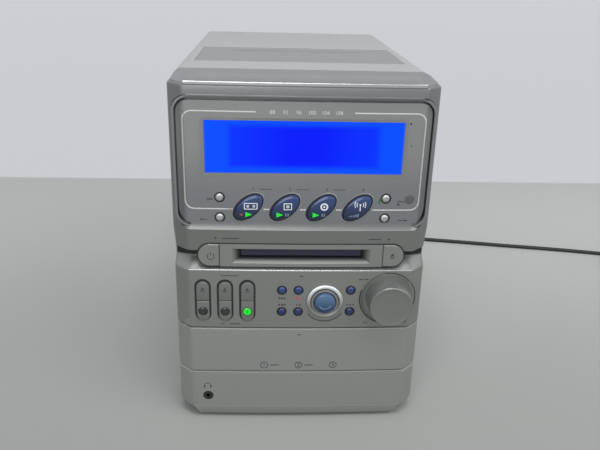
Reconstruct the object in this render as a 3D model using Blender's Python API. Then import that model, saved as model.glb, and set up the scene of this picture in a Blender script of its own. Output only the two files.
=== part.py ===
"""The centre unit of a mini hi-fi system: display, tape deck, cartridge deck and disc drawer in one tall case.

Metres, +Z up. The front looks along -Y and +X is to the viewer's right. The origin is on the table
under the middle of the case. Places behind the front face are given as depths from that face.
"""

import math

import bmesh
import bpy
from mathutils import Vector

for old in list(bpy.data.objects):
    bpy.data.objects.remove(old, do_unlink=True)

# Driving sizes of the case
WIDTH = 0.185
BODY_DEPTH = 0.320
FOOT_HEIGHT = 0.004
BASE_HEIGHT = 0.0399
DRAWER_HEIGHT = 0.0383
CONTROL_HEIGHT = 0.0476
SHOULDER_RISE = 0.0070
SHOULDER_DEPTH = 0.0096
NECK_SIDE_SHARE = 0.12
WAIST_HEIGHT = 0.0075
HEIGHT = 0.2665
KNOB_PROUD = 0.014

# How the case is made
WALL = 0.0025
SHEET = 0.0012
CLEAR = 0.0003
OVERRUN = 0.003
EDGE = 0.0008
CORNER_WIDTH = 0.0105
CORNER_DEPTH = 0.0115
RIDGE = 0.0024
BOW = 0.0015
FRONT_RETURN = 0.020
HOUSING_RETURN = 0.049
TOP_ROUND_WIDTH = 0.0060
TOP_ROUND_HEIGHT = 0.0050
TOP_CRISP = 0.0014
TOP_EDGE = 0.002
FRONT_DROP = 0.003
BEVEL_HEIGHT = 0.0091
BEVEL_DEPTH = 0.0080
CHIN_SLOPE = 0.0012
REAR_RECESS = 0.0068
COVER_LIFT = 0.0020

# Shares that shape the front's chamfered corners
FRONT_SHARES = (0.0, 0.5)
RIDGE_SHARES = (0.0, 1 / 3, 2 / 3, 1.0)
RIDGE_LIMIT_SHARE = 0.35
CHAMFER_SHARE = 2.0 - math.sqrt(2.0)
BEVEL_SHARES = ((0.0, 1.0), (0.25, 0.55), (0.60, 0.18), (1.0, 0.0))

# Levels and depths that follow
BASE_Z = FOOT_HEIGHT
LOW_SEAM_Z = BASE_Z + BASE_HEIGHT
HIGH_SEAM_Z = LOW_SEAM_Z + DRAWER_HEIGHT
SHOULDER_Z = HIGH_SEAM_Z + CONTROL_HEIGHT
NECK_Z = SHOULDER_Z + SHOULDER_RISE
WAIST_Z = NECK_Z + WAIST_HEIGHT
TOP_Z = HEIGHT
HALF_WIDTH = WIDTH / 2
FACE_Y = (KNOB_PROUD - BODY_DEPTH) / 2
INNER_HALF = HALF_WIDTH - SHEET - CLEAR
REAR_PANEL_DEPTH = BODY_DEPTH - REAR_RECESS

# Display fascia, set in a recess of the housing
RECESS_TOP = 0.0101
RECESS_BOTTOM = 0.0171
RECESS_DEPTH = 0.0043
RECESS_SLOPE_SHARE = 1.05
RECESS_SIDE = 0.0025
RECESS_RADIUS = 0.0125
GROOVE = 0.0038
GROOVE_SIDE = 0.0030
GROOVE_REACH = 0.0176
FASCIA_THICK = 0.0028
FASCIA_LEDGE = 0.0060
FASCIA_ROUND = 0.0012
HOUSING_CAVITY = 0.0070
WINDOW_SIDE = 0.0241
WINDOW_HEIGHT = 0.0388
WINDOW_DROP = 0.0152
WINDOW_RADIUS = 0.0016
WINDOW_THICK = 0.0020
BOARD_THICK = 0.0016
SCREEN_MARGIN = 0.0055
OVAL_LONG = 0.0126
OVAL_SHORT = 0.0072
OVAL_PITCH_SHARE = 0.1381
OVAL_TILT = math.radians(42)
OVAL_ABOVE_RECESS = 0.0170
OVAL_PROUD = 0.0022
ROUND_KEY_RADIUS = 0.0032
KEY_PROUD = 0.0012
KEY_TRAVEL = 0.0010
SMALL_KEY_X_SHARE = 0.3146
SMALL_KEY_HIGH = 0.0240
SMALL_KEY_LOW = 0.0091

# Slot strip across the waist, with a round-ended key at each side
STRIP_SIDE = 0.0180
STRIP_HEIGHT = 0.0175
STRIP_ABOVE_SHOULDER = 0.0031
STRIP_THICK = 0.0160
STRIP_KEY_WIDTH = 0.0155
STRIP_KEY_THICK = 0.0060
MOUTH_SIDE = 0.0221
MOUTH_HEIGHT = 0.0126
MOUTH_DROP = 0.0010
MOUTH_DEPTH = 0.0056
MOUTH_TAPER = 0.0085
SLOT_HEIGHT = 0.0076
FLAP_THICK = 0.0012
FLAP_PIN_RADIUS = 0.0006
FLAP_PIN_LENGTH = 0.0012

# Cartridge deck behind the slot
CARTRIDGE_WIDTH = 0.0760
CARTRIDGE_DEPTH = 0.0720
CARTRIDGE_HEIGHT = 0.0062
DECK_WIDTH = 0.0960
DECK_DEPTH = 0.0920
DECK_HEIGHT = 0.0180

# Control section
COLUMN_X_SHARES = (-0.3876, -0.2995, -0.2114)
COLUMN_WIDTH = 0.0110
COLUMN_HEIGHT = 0.0328
COLUMN_ABOVE_SEAM = 0.0067
COLUMN_SPLIT_SHARE = 0.50
FUNCTION_X_SHARES = (-0.0741, -0.0081, 0.2005)
FUNCTION_HIGH = 0.0319
FUNCTION_LOW = 0.0142
DIAL_X_SHARE = 0.0984
DIAL_ABOVE_SEAM = 0.0222
DIAL_RADIUS = 0.0106
DIAL_BORE = 0.0082
DIAL_PROUD = 0.0012
DIAL_SINK = 0.0040
DIAL_COLLAR = 0.0134
DIAL_COLLAR_PROUD = 0.0010
DOME_RADIUS = 0.0078
DOME_PROUD = 0.0042
DOME_REAR = 0.0030
STEM_RADIUS = 0.0020
KNOB_X_SHARE = 0.3530
KNOB_ABOVE_SEAM = 0.0252
KNOB_RADIUS = 0.0166
KNOB_TAPER = 0.0009
KNOB_ROUND = 0.0014
DISH_RADIUS = 0.0204
DISH_DEPTH = 0.0026
SHAFT_RADIUS = 0.0030
BOSS_WALL = 0.0030
CONTROL_BOARD_DEPTH = 0.0090

# Base section
JACK_X_SHARE = -0.3778
JACK_ABOVE_BASE = 0.0173
JACK_RADIUS = 0.0037
JACK_BORE = 0.00175
JACK_LENGTH = 0.0140
FOOT_RADIUS = 0.0095
FOOT_TAPER = 0.0012
FOOT_SIDE = 0.0245
FOOT_FRONT_DEPTH = 0.0360
FOOT_REAR_DEPTH = 0.2900
FLANGE = 0.0140
STANDOFF_RADIUS = 0.0030
STANDOFF_HEIGHT = 0.0045
MAIN_BOARD_SIDE = 0.0185
MAIN_BOARD_DEPTH = 0.1900
MAIN_BOARD_FRONT = 0.0300
TRANSFORMER_SIZE = (0.0600, 0.0480, 0.0500)
TRANSFORMER_SIDE = 0.0105
TRANSFORMER_FRONT = 0.2470
COIL_SWELL = 0.0070

# Disc loader and drawer
LOADER_LIFT = 0.0035
LOADER_FLOOR = 0.0020
LOADER_SIDE = 0.0050
LOADER_FRONT = 0.0215
LOADER_DEPTH = 0.2100
LOADER_WALL_HEIGHT = 0.0270
LOADER_LEG = 0.0040
BRIDGE_DEPTH = 0.0300
BRIDGE_THICK = 0.0030
DRAWER_LIFT = 0.0115
DRAWER_THICK = 0.0055
DRAWER_SIDE = 0.0270
DRAWER_LENGTH = 0.1950
DRAWER_START = 0.0045
DRAWER_TRAVEL = 0.1400
DISC_DEPTH = 0.0780
DISC_SIDE = 0.0048
SMALL_DISC_STEP = 0.0202
DISC_SINK = 0.0020
SLOT_HALF = 0.0170
RUNNER_WIDTH = 0.0050
RUNNER_SIDE = 0.0055
GEAR_MODULE = 0.00125
PINION_TEETH = 12
PINION_HEIGHT = 0.0050
PINION_BORE = 0.0025
RACK_FRONT = 0.0400
PINION_DEPTH = 0.0500
TURNTABLE_RADIUS = 0.0150
HUB_RADIUS = 0.0070
HUB_HEIGHT = 0.0030
SPINDLE_RADIUS = 0.0012
MOTOR_RADIUS = 0.0120
MOTOR_HEIGHT = 0.0060
PICKUP_WIDTH = 0.0280
PICKUP_LENGTH = 0.0200
PICKUP_HEIGHT = 0.0060
PICKUP_TRAVEL = 0.0300
PICKUP_GAP = 0.0030
LENS_RADIUS = 0.0035
LENS_HEIGHT = 0.0015
ROD_RADIUS = 0.0010
ROD_X = 0.0100

# Tape deck under the top cover
LID_SIDE = 0.0110
LID_FRONT = 0.0883
LID_REAR = 0.1817
LID_THICK = 0.0022
LID_GAP = 0.0004
KNUCKLE_RADIUS = 0.0029
LID_PIN_RADIUS = 0.0009
LID_PIN_LENGTH = 0.0022
LID_SLOT_WIDTH = 0.1100
LID_SLOT_DEPTH = 0.1545
LID_SLOT_LENGTH = 0.0030
HOLDER_HALF = 0.0545
HOLDER_WALL = 0.0020
HOLDER_HEIGHT = 0.0150
HOLDER_FRONT = 0.1030
HOLDER_REAR = 0.1700
HOLDER_LIP = 0.0050
TAPE_FRAME_SIDE = 0.0125
TAPE_FRAME_DEPTH = 0.0950
TAPE_FRAME_HEIGHT = 0.0240
TAPE_FRAME_WALL = 0.0025
HUB_SPACING = 0.0425
HUB_FROM_FRONT = 0.0450
HUB_DISC_RADIUS = 0.0085
HUB_DISC_HEIGHT = 0.0020
HUB_SHAFT_RADIUS = 0.0026
HUB_SHAFT_HEIGHT = 0.0120
HUB_SPLINE = 0.0010
VENT_LENGTH = 0.0082
VENT_WIDTH = 0.0030
VENT_PITCH = 0.0124
VENT_GROUP_X_SHARE = 0.2578
VENT_DEPTH = 0.2990
VENT_COUNT = 4

# Rear panel, sockets and the mains cord
SOCKET_RADIUS = 0.0042
SOCKET_BORE = 0.0016
SOCKET_PROUD = 0.0060
SOCKET_PITCH = 0.0140
SOCKET_Z = 0.0600
SOCKET_X_SHARE = -0.3243
SOCKET_PLATE = 0.0015
SLIT_WIDTH = 0.0500
SLIT_HEIGHT = 0.0030
SLIT_PITCH = 0.0080
SLIT_COUNT = 8
SLIT_LOW_Z = 0.1700
CORD_RADIUS = 0.00225
CORD_EXIT_X = 0.0600
CORD_EXIT_Z = 0.0240
BUSHING_RADIUS = 0.0060
BUSHING_FLANGE = 0.0080
BUSHING_LENGTH = 0.0300
BUSHING_TIP = 0.0033
COIL_INNER = 0.0168
COIL_PITCH = 0.0050
COIL_TURNS = 4
COIL_STEPS = 24
PLUG_LENGTH = 0.0300
PLUG_WIDTH = 0.0220
PLUG_HEIGHT = 0.0138
PLUG_NECK = 0.0038
PLUG_NECK_LENGTH = 0.0120
BLADE_LENGTH = 0.0160
BLADE_WIDTH = 0.0060
BLADE_THICK = 0.0015
BLADE_SPACING = 0.0127

# Places and widths across the case, which follow its width
RECESS_HALF = HALF_WIDTH - RECESS_SIDE
WINDOW_WIDTH = WIDTH - WINDOW_SIDE * 2
OVAL_PITCH = WIDTH * OVAL_PITCH_SHARE
SMALL_KEY_X = WIDTH * SMALL_KEY_X_SHARE
STRIP_WIDTH = WIDTH - STRIP_SIDE * 2
MOUTH_WIDTH = STRIP_WIDTH - MOUTH_SIDE * 2
SLOT_WIDTH = MOUTH_WIDTH - MOUTH_TAPER * 2
COLUMN_X = [WIDTH * share for share in COLUMN_X_SHARES]
FUNCTION_X = [WIDTH * share for share in FUNCTION_X_SHARES]
DIAL_X = WIDTH * DIAL_X_SHARE
KNOB_X = WIDTH * KNOB_X_SHARE
JACK_X = WIDTH * JACK_X_SHARE
FOOT_X = HALF_WIDTH - FOOT_SIDE
MAIN_BOARD_WIDTH = WIDTH - MAIN_BOARD_SIDE * 2
TRANSFORMER_X = TRANSFORMER_SIDE + TRANSFORMER_SIZE[0] / 2 - HALF_WIDTH
LOADER_HALF = HALF_WIDTH - LOADER_SIDE
DRAWER_HALF = HALF_WIDTH - DRAWER_SIDE
DISC_RADIUS = DRAWER_HALF - DISC_SIDE
SMALL_DISC_RADIUS = DISC_RADIUS - SMALL_DISC_STEP
RUNNER_X = DRAWER_HALF - RUNNER_SIDE
LID_WIDTH = WIDTH - LID_SIDE * 2
TAPE_FRAME_HALF = HALF_WIDTH - TAPE_FRAME_SIDE
VENT_GROUP_X = WIDTH * VENT_GROUP_X_SHARE
SOCKET_X = WIDTH * SOCKET_X_SHARE

# Counts of sides on round forms
ROUND_SIDES = 24
KEY_SIDES = 16
SMALL_SIDES = 10

FINISHES = {
    "silver": ((0.42, 0.42, 0.40, 1.0), 0.42, 0.35),
    "cover": ((0.50, 0.51, 0.50, 1.0), 0.45, 0.30),
    "steel": ((0.55, 0.56, 0.57, 1.0), 0.40, 0.90),
    "black": ((0.03, 0.03, 0.032, 1.0), 0.55, 0.0),
    "rubber": ((0.02, 0.02, 0.02, 1.0), 0.80, 0.0),
    "blue": ((0.03, 0.06, 0.20, 1.0), 0.18, 0.0),
    "window": ((0.0, 0.05, 0.9, 1.0), 0.12, 0.0),
    "board": ((0.30, 0.20, 0.08, 1.0), 0.60, 0.0),
    "plate": ((0.75, 0.76, 0.77, 1.0), 0.25, 1.0),
    "white": ((0.70, 0.70, 0.66, 1.0), 0.50, 0.0),
}


def behind(depth):
    """The Y of a place this far behind the front face."""
    return FACE_Y + depth


def finish(name):
    """The material of that name, made once."""
    found = bpy.data.materials.get(name)
    if found:
        return found
    colour, rough, metal = FINISHES[name]
    made = bpy.data.materials.new(name)
    made.use_nodes = True
    shader = made.node_tree.nodes["Principled BSDF"]
    shader.inputs["Base Color"].default_value = colour
    shader.inputs["Roughness"].default_value = rough
    shader.inputs["Metallic"].default_value = metal
    return made


# Outlines, as lists of flat points


def rectangle(u0, u1, v0, v1):
    return [(u0, v0), (u1, v0), (u1, v1), (u0, v1)]


def rounded(u0, u1, v0, v1, radius, steps=4):
    """A rectangle with round corners."""
    points = []
    corners = ((u1, v1, 0), (u0, v1, 1), (u0, v0, 2), (u1, v0, 3))
    for u, v, quarter in corners:
        cu = u - math.copysign(radius, u - (u0 + u1) / 2)
        cv = v - math.copysign(radius, v - (v0 + v1) / 2)
        for step in range(steps + 1):
            angle = (quarter + step / steps) * math.pi / 2
            points.append((cu + radius * math.cos(angle), cv + radius * math.sin(angle)))
    return points


def oval(u, v, long, short, tilt=0.0, sides=ROUND_SIDES):
    points = []
    for step in range(sides):
        angle = 2 * math.pi * step / sides
        a, b = long * math.cos(angle), short * math.sin(angle)
        points.append((u + a * math.cos(tilt) - b * math.sin(tilt), v + a * math.sin(tilt) + b * math.cos(tilt)))
    return points


def circle(u, v, radius, sides=ROUND_SIDES):
    return oval(u, v, radius, radius, 0.0, sides)


# Forms, as (points, faces)


def loft(rings):
    """A closed form through rings of equally many points, with a flat end at the first and last."""
    count = len(rings[0])
    points = [tuple(point) for ring in rings for point in ring]
    last = len(points) - count
    faces = [tuple(range(count)), tuple(range(last, last + count))]
    for start in range(0, last, count):
        for here in range(count):
            after = (here + 1) % count
            faces.append((start + here, start + after, start + count + after, start + count + here))
    return points, faces


def place(u, v, along, axis):
    return {"X": (along, u, v), "Y": (u, along, v), "Z": (u, v, along)}[axis]


def prism(outline, low, high, axis="Y"):
    return loft([[place(u, v, end, axis) for u, v in outline] for end in (low, high)])


def box(x0, x1, y0, y1, z0, z1):
    return prism(rectangle(x0, x1, y0, y1), z0, z1, "Z")


def drum(profile, u, v, axis="Y", sides=ROUND_SIDES, ring=False):
    """A form turned about an axis through (u, v). The profile holds (radius, place along the axis)."""
    points, rows, faces = [], [], []
    for radius, along in profile:
        if radius == 0:
            rows.append([len(points)] * sides)
            points.append(place(u, v, along, axis))
            continue
        rows.append(list(range(len(points), len(points) + sides)))
        points += [place(a, b, along, axis) for a, b in circle(u, v, radius, sides)]
    pairs = list(zip(rows, rows[1:]))
    if ring:
        pairs.append((rows[-1], rows[0]))
    for one, two in pairs:
        for here in range(sides):
            after = (here + 1) % sides
            corners = (one[here], one[after], two[after], two[here])
            faces.append(tuple(dict.fromkeys(corners)))
    return points, faces


def together(*forms):
    """Several forms that don't touch, as one."""
    points, faces = [], []
    for more, sides in forms:
        start = len(points)
        points += more
        faces += [tuple(start + index for index in side) for side in sides]
    return points, faces


def mesh_of(form, name):
    points, faces = form
    work = bmesh.new()
    corners = [work.verts.new(point) for point in points]
    for face in faces:
        work.faces.new([corners[index] for index in face])
    bmesh.ops.recalc_face_normals(work, faces=work.faces)
    mesh = bpy.data.meshes.new(name)
    work.to_mesh(mesh)
    work.free()
    return mesh


def combine(target, form, operation):
    """Joins a form to an object, or cuts it away, and keeps the result as the object's mesh."""
    tool = bpy.data.objects.new("tool", mesh_of(form, "tool"))
    tool.hide_render = True
    tool.display_type = "WIRE"
    bpy.context.collection.objects.link(tool)
    change = target.modifiers.new("carve", "BOOLEAN")
    change.operation = operation
    change.solver = "EXACT"
    change.object = tool
    evaluated = target.evaluated_get(bpy.context.evaluated_depsgraph_get())
    result = bpy.data.meshes.new_from_object(evaluated)
    before = target.data
    target.modifiers.clear()
    target.data = result
    bpy.data.meshes.remove(before)
    spent = tool.data
    bpy.data.objects.remove(tool, do_unlink=True)
    bpy.data.meshes.remove(spent)


def piece(name, form, material, join=(), common=(), cut=(), holder=None, pivot=(0, 0, 0)):
    """One sub-part: its form, what is joined to it and cut from it, its holder and its own origin."""
    made = bpy.data.objects.new(name, mesh_of(form, name))
    bpy.context.collection.objects.link(made)
    for forms, operation in ((join, "UNION"), (common, "INTERSECT"), (cut, "DIFFERENCE")):
        for extra in forms:
            combine(made, extra, operation)
    made.data.materials.clear()
    made.data.materials.append(finish(material))
    made.data.shade_smooth()
    made.data.set_sharp_from_angle(angle=math.radians(32))
    pivot = Vector(pivot)
    made.data.name = name
    for vertex in made.data.vertices:
        vertex.co -= pivot
    made.location = pivot
    if holder:
        made.parent = holder
        made.location = pivot - holder.location
    return made


def holder(name, where=(0, 0, 0)):
    """An empty that carries the pieces which move together."""
    made = bpy.data.objects.new(name, None)
    made.location = where
    bpy.context.collection.objects.link(made)
    return made


# The case's own outlines


def plan(inset, reach, side=None):
    """The front seen from above, drawn in by inset, or by another amount at the sides where one is given."""
    half = HALF_WIDTH - (inset if side is None else side)
    flat = HALF_WIDTH - CORNER_WIDTH - (1 - CHAMFER_SHARE) * inset
    deep = CORNER_DEPTH - BOW - CHAMFER_SHARE * inset
    right = [(flat * share, inset + BOW * share * share) for share in FRONT_SHARES]
    ridge, shoulder = Vector((flat, inset + BOW)), Vector((half, inset + BOW + deep))
    slant = shoulder - ridge
    rounding = min(RIDGE, slant.length * RIDGE_LIMIT_SHARE)
    along = slant.normalized() * rounding
    for corner, before, after in ((ridge, Vector((-rounding, 0)), along), (shoulder, -along, Vector((0, rounding)))):
        for share in RIDGE_SHARES:
            spot = corner + before * (1 - share) ** 2 + after * share**2
            right.append((spot.x, spot.y))
    right.append((half, reach))
    left = [(-x, y) for x, y in reversed(right[1:])]
    return [(x, behind(y)) for x, y in left + right]


def face_depth(x):
    """How far the bowed front lies behind its middle at this place across it."""
    share = min(abs(x) / (HALF_WIDTH - CORNER_WIDTH), 1.0)
    return BOW * share * share


def wrapped(rings, reach):
    """A form lofted upwards through (level, inset), or (level, inset, side), with the front's outline."""
    return loft([[(x, y, z) for x, y in plan(inset, reach, *side)] for z, inset, *side in rings])


def section(inset, low, round_width=TOP_ROUND_WIDTH, round_height=TOP_ROUND_HEIGHT):
    """The cover seen from the front, with its rolled long edges."""
    half = HALF_WIDTH - inset
    top = TOP_Z - inset
    wide, high = round_width - inset, round_height - inset
    right = [(half, low)]
    for step in range(5):
        angle = step / 4 * math.pi / 2
        right.append((half - wide + wide * math.cos(angle), top - high + high * math.sin(angle)))
    return right + [(-x, z) for x, z in reversed(right)]


cabinet = holder("cabinet")
strip_z = SHOULDER_Z + STRIP_ABOVE_SHOULDER + STRIP_HEIGHT / 2
strip_round = STRIP_HEIGHT / 2
recess_low_z = WAIST_Z + RECESS_BOTTOM
recess_top_z = TOP_Z - RECESS_TOP
floor_z = BASE_Z + SHEET


def strip_outline(grow):
    half = STRIP_WIDTH / 2 + grow
    high = STRIP_HEIGHT / 2 + grow
    return rounded(-half, half, strip_z - high, strip_z + high, high * 0.999, 6)


def strip_opening():
    """The hole that the housing and the control panel leave for the slot strip."""
    return prism(strip_outline(CLEAR), behind(-OVERRUN), behind(STRIP_THICK + CLEAR))


def key_hole(x, z, radius, floor):
    """A round hole through the front for a key of this radius."""
    return prism(circle(x, z, radius + CLEAR, KEY_SIDES), behind(-OVERRUN), behind(floor))


# Base: steel chassis, moulded front, feet


def chassis():
    front, rear = behind(FRONT_RETURN + CLEAR), behind(REAR_PANEL_DEPTH - CLEAR)
    tray = box(-INNER_HALF, INNER_HALF, front, rear, BASE_Z, BASE_Z + FLANGE)
    inside = INNER_HALF - SHEET
    hollow = box(-inside, inside, front + SHEET, rear - SHEET, floor_z, BASE_Z + FLANGE + OVERRUN)
    posts = []
    for x in (-MAIN_BOARD_WIDTH / 2, MAIN_BOARD_WIDTH / 2):
        for depth in (MAIN_BOARD_FRONT, MAIN_BOARD_FRONT + MAIN_BOARD_DEPTH):
            inward = STANDOFF_RADIUS * 2
            px = x - math.copysign(inward, x)
            py = behind(depth + (inward if depth == MAIN_BOARD_FRONT else -inward))
            top = floor_z + STANDOFF_HEIGHT
            posts.append(prism(circle(px, py, STANDOFF_RADIUS, SMALL_SIDES), BASE_Z + SHEET / 2, top, "Z"))
    slots = []
    for number in range(5):
        x = SLIT_PITCH * (number + 2)
        slots.append(box(x, x + SLIT_HEIGHT, behind(FOOT_REAR_DEPTH) - SLIT_WIDTH,
                         behind(FOOT_REAR_DEPTH) - FOOT_RADIUS * 2, BASE_Z - OVERRUN, floor_z + OVERRUN))
    piece("chassis_base", tray, "steel", cut=(hollow, together(*slots)), holder=cabinet)
    base = bpy.data.objects["chassis_base"]
    for post in posts:
        combine(base, post, "UNION")


def feet():
    for end, depth in (("front", FOOT_FRONT_DEPTH), ("rear", FOOT_REAR_DEPTH)):
        for side, x in (("left", -FOOT_X), ("right", FOOT_X)):
            top = FOOT_HEIGHT - CLEAR
            profile = ((0, 0), (FOOT_RADIUS - FOOT_TAPER, 0), (FOOT_RADIUS, FOOT_TAPER), (FOOT_RADIUS, top), (0, top))
            form = drum(profile, x, behind(depth), "Z", 12)
            piece(f"foot_{end}_{side}", form, "rubber", holder=cabinet)


def base_front():
    rings = [(BASE_Z + BEVEL_HEIGHT * up, BEVEL_DEPTH * inward) for up, inward in BEVEL_SHARES]
    top = LOW_SEAM_Z - CLEAR
    rings += [(top - EDGE, 0), (top, EDGE)]
    hollow = wrapped([(BASE_Z + BEVEL_HEIGHT, WALL), (top - WALL, WALL)], FRONT_RETURN + OVERRUN)
    jack_z = BASE_Z + JACK_ABOVE_BASE
    hole = key_hole(JACK_X, jack_z, JACK_RADIUS, WALL * 3)
    piece("base_panel", wrapped(rings, FRONT_RETURN), "silver", cut=(hollow, hole), holder=cabinet)
    face = face_depth(JACK_X)
    collar = JACK_RADIUS + EDGE
    profile = (
        (JACK_BORE, behind(face)), (JACK_RADIUS, behind(face)), (JACK_RADIUS, behind(face + WALL + CLEAR * 2)),
        (collar, behind(face + WALL + CLEAR * 2)), (collar, behind(JACK_LENGTH)), (JACK_BORE, behind(JACK_LENGTH)),
    )
    piece("headphone_jack", drum(profile, JACK_X, jack_z, "Y", KEY_SIDES, ring=True), "black", holder=cabinet)


# Control section and the keys on it


def column_outline(x, low, high, grow):
    half = COLUMN_WIDTH / 2 + grow
    return rounded(x - half, x + half, low - grow, high + grow, half * 0.999, 4)


column_low = HIGH_SEAM_Z + COLUMN_ABOVE_SEAM
column_high = column_low + COLUMN_HEIGHT
column_split = column_low + COLUMN_HEIGHT * COLUMN_SPLIT_SHARE
dial_z = HIGH_SEAM_Z + DIAL_ABOVE_SEAM
knob_z = HIGH_SEAM_Z + KNOB_ABOVE_SEAM
key_rear = CONTROL_BOARD_DEPTH - KEY_TRAVEL - CLEAR
boss_depth = DIAL_SINK + BOSS_WALL


def control_front():
    low = HIGH_SEAM_Z
    high = WAIST_Z - CLEAR
    side = SHOULDER_DEPTH * NECK_SIDE_SHARE
    neck = SHOULDER_DEPTH + WALL
    rings = [(low, EDGE), (low + EDGE, 0), (SHOULDER_Z - EDGE / 2, 0), (SHOULDER_Z + EDGE / 2, EDGE, EDGE / 4),
             (NECK_Z, SHOULDER_DEPTH, side), (high, SHOULDER_DEPTH, side)]
    inner = [(low + WALL, WALL), (SHOULDER_Z - WALL / 2, WALL), (NECK_Z - WALL / 2, neck, side + WALL),
             (high + OVERRUN, neck, side + WALL)]
    hollow = wrapped(inner, FRONT_RETURN + OVERRUN)
    bosses = [
        prism(circle(DIAL_X, dial_z, DIAL_COLLAR), behind(-DIAL_COLLAR_PROUD), behind(boss_depth)),
        prism(circle(KNOB_X, knob_z, SHAFT_RADIUS + BOSS_WALL * 2), behind(EDGE), behind(boss_depth)),
    ]
    for x in (COLUMN_X[0] - COLUMN_WIDTH, FUNCTION_X[2] + ROUND_KEY_RADIUS * 2):
        z = low + WALL * 2
        bosses.append(prism(circle(x, z, STANDOFF_RADIUS, SMALL_SIDES), behind(EDGE * 2), behind(CONTROL_BOARD_DEPTH - CLEAR)))
    rings_cut = drum(((0, behind(-OVERRUN)), (DIAL_RADIUS + CLEAR, behind(-OVERRUN)),
                      (DIAL_RADIUS + CLEAR, behind(DIAL_SINK)), (0, behind(DIAL_SINK))), DIAL_X, dial_z)
    stem = prism(circle(DIAL_X, dial_z, STEM_RADIUS + CLEAR, SMALL_SIDES), behind(0), behind(boss_depth + OVERRUN))
    face = face_depth(KNOB_X)
    dish = drum(((0, behind(-OVERRUN)), (DISH_RADIUS, behind(-OVERRUN)), (DISH_RADIUS, behind(face)),
                 (KNOB_RADIUS + EDGE, behind(DISH_DEPTH)), (0, behind(DISH_DEPTH))), KNOB_X, knob_z)
    shaft = prism(circle(KNOB_X, knob_z, SHAFT_RADIUS + CLEAR, SMALL_SIDES), behind(0), behind(boss_depth + OVERRUN))
    backing = drum(((0, behind(EDGE * 3)), (DISH_RADIUS + WALL, behind(EDGE * 3)),
                    (DISH_RADIUS, behind(DISH_DEPTH + WALL)), (0, behind(DISH_DEPTH + WALL))), KNOB_X, knob_z)
    holes = [prism(column_outline(x, column_low, column_high, CLEAR), behind(-OVERRUN), behind(WALL * 3)) for x in COLUMN_X]
    for x in FUNCTION_X:
        for up in (FUNCTION_HIGH, FUNCTION_LOW):
            holes.append(key_hole(x, low + up, ROUND_KEY_RADIUS, WALL * 3))
    panel = piece("control_panel", wrapped(rings, FRONT_RETURN), "silver", cut=(hollow,), holder=cabinet)
    for boss in (backing, *bosses):
        combine(panel, boss, "UNION")
    for hole in (dish, rings_cut, together(stem, shaft), together(*holes), strip_opening()):
        combine(panel, hole, "DIFFERENCE")
    half = HALF_WIDTH - CORNER_WIDTH
    back = behind(CONTROL_BOARD_DEPTH + BOARD_THICK)
    encoder = SHAFT_RADIUS * 2
    board = box(-half, half, behind(CONTROL_BOARD_DEPTH), back, low + WALL * 1.5, SHOULDER_Z - WALL)
    block = box(KNOB_X - encoder, KNOB_X + encoder, behind(boss_depth + CLEAR), back, knob_z - encoder, knob_z + encoder)
    piece("control_board", board, "board", join=(block,), holder=cabinet)


def slab_key(name, outline, front, rear, material, swell=EDGE):
    """A key with an outline of its own, its front edge drawn in."""
    middle_u = sum(u for u, _ in outline) / len(outline)
    middle_v = sum(v for _, v in outline) / len(outline)
    reach = max(math.hypot(u - middle_u, v - middle_v) for u, v in outline)
    share = 1 - swell / reach
    small = [(middle_u + (u - middle_u) * share, middle_v + (v - middle_v) * share) for u, v in outline]
    rings = [[(u, behind(front), v) for u, v in small], [(u, behind(front + swell), v) for u, v in outline],
             [(u, behind(rear), v) for u, v in outline]]
    return piece(name, loft(rings), material, holder=cabinet, pivot=(middle_u, behind(front), middle_v))


def round_key(name, x, z, radius, proud, rear, material):
    face = face_depth(x)
    front = behind(face - proud)
    profile = ((0, front), (radius * 0.6, front + EDGE / 4), (radius, front + EDGE), (radius, behind(rear)), (0, behind(rear)))
    return piece(name, drum(profile, x, z, "Y", KEY_SIDES), material, holder=cabinet, pivot=(x, front, z))


def control_keys():
    for number, x in enumerate(COLUMN_X, 1):
        face = face_depth(x)
        whole = column_outline(x, column_low, column_high, 0)
        upper = [(u, max(v, column_split + CLEAR)) for u, v in whole if v > column_split]
        lower = [(u, min(v, column_split - CLEAR)) for u, v in whole if v < column_split]
        half = COLUMN_WIDTH / 2
        upper += [(x - half, column_split + CLEAR), (x + half, column_split + CLEAR)]
        lower += [(x + half, column_split - CLEAR), (x - half, column_split - CLEAR)]
        for name, outline in ((f"tray_button_{number}", upper), (f"disc_button_{number}", lower)):
            middle = sum(v for _, v in outline) / len(outline)
            outline.sort(key=lambda spot: math.atan2(spot[1] - middle, spot[0] - x))
            slab_key(name, outline, face - KEY_PROUD, key_rear, "silver")
    count = 1
    for up in (FUNCTION_HIGH, FUNCTION_LOW):
        for x in FUNCTION_X:
            round_key(f"function_button_{count}", x, HIGH_SEAM_Z + up, ROUND_KEY_RADIUS, KEY_PROUD, key_rear, "blue")
            count += 1


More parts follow.
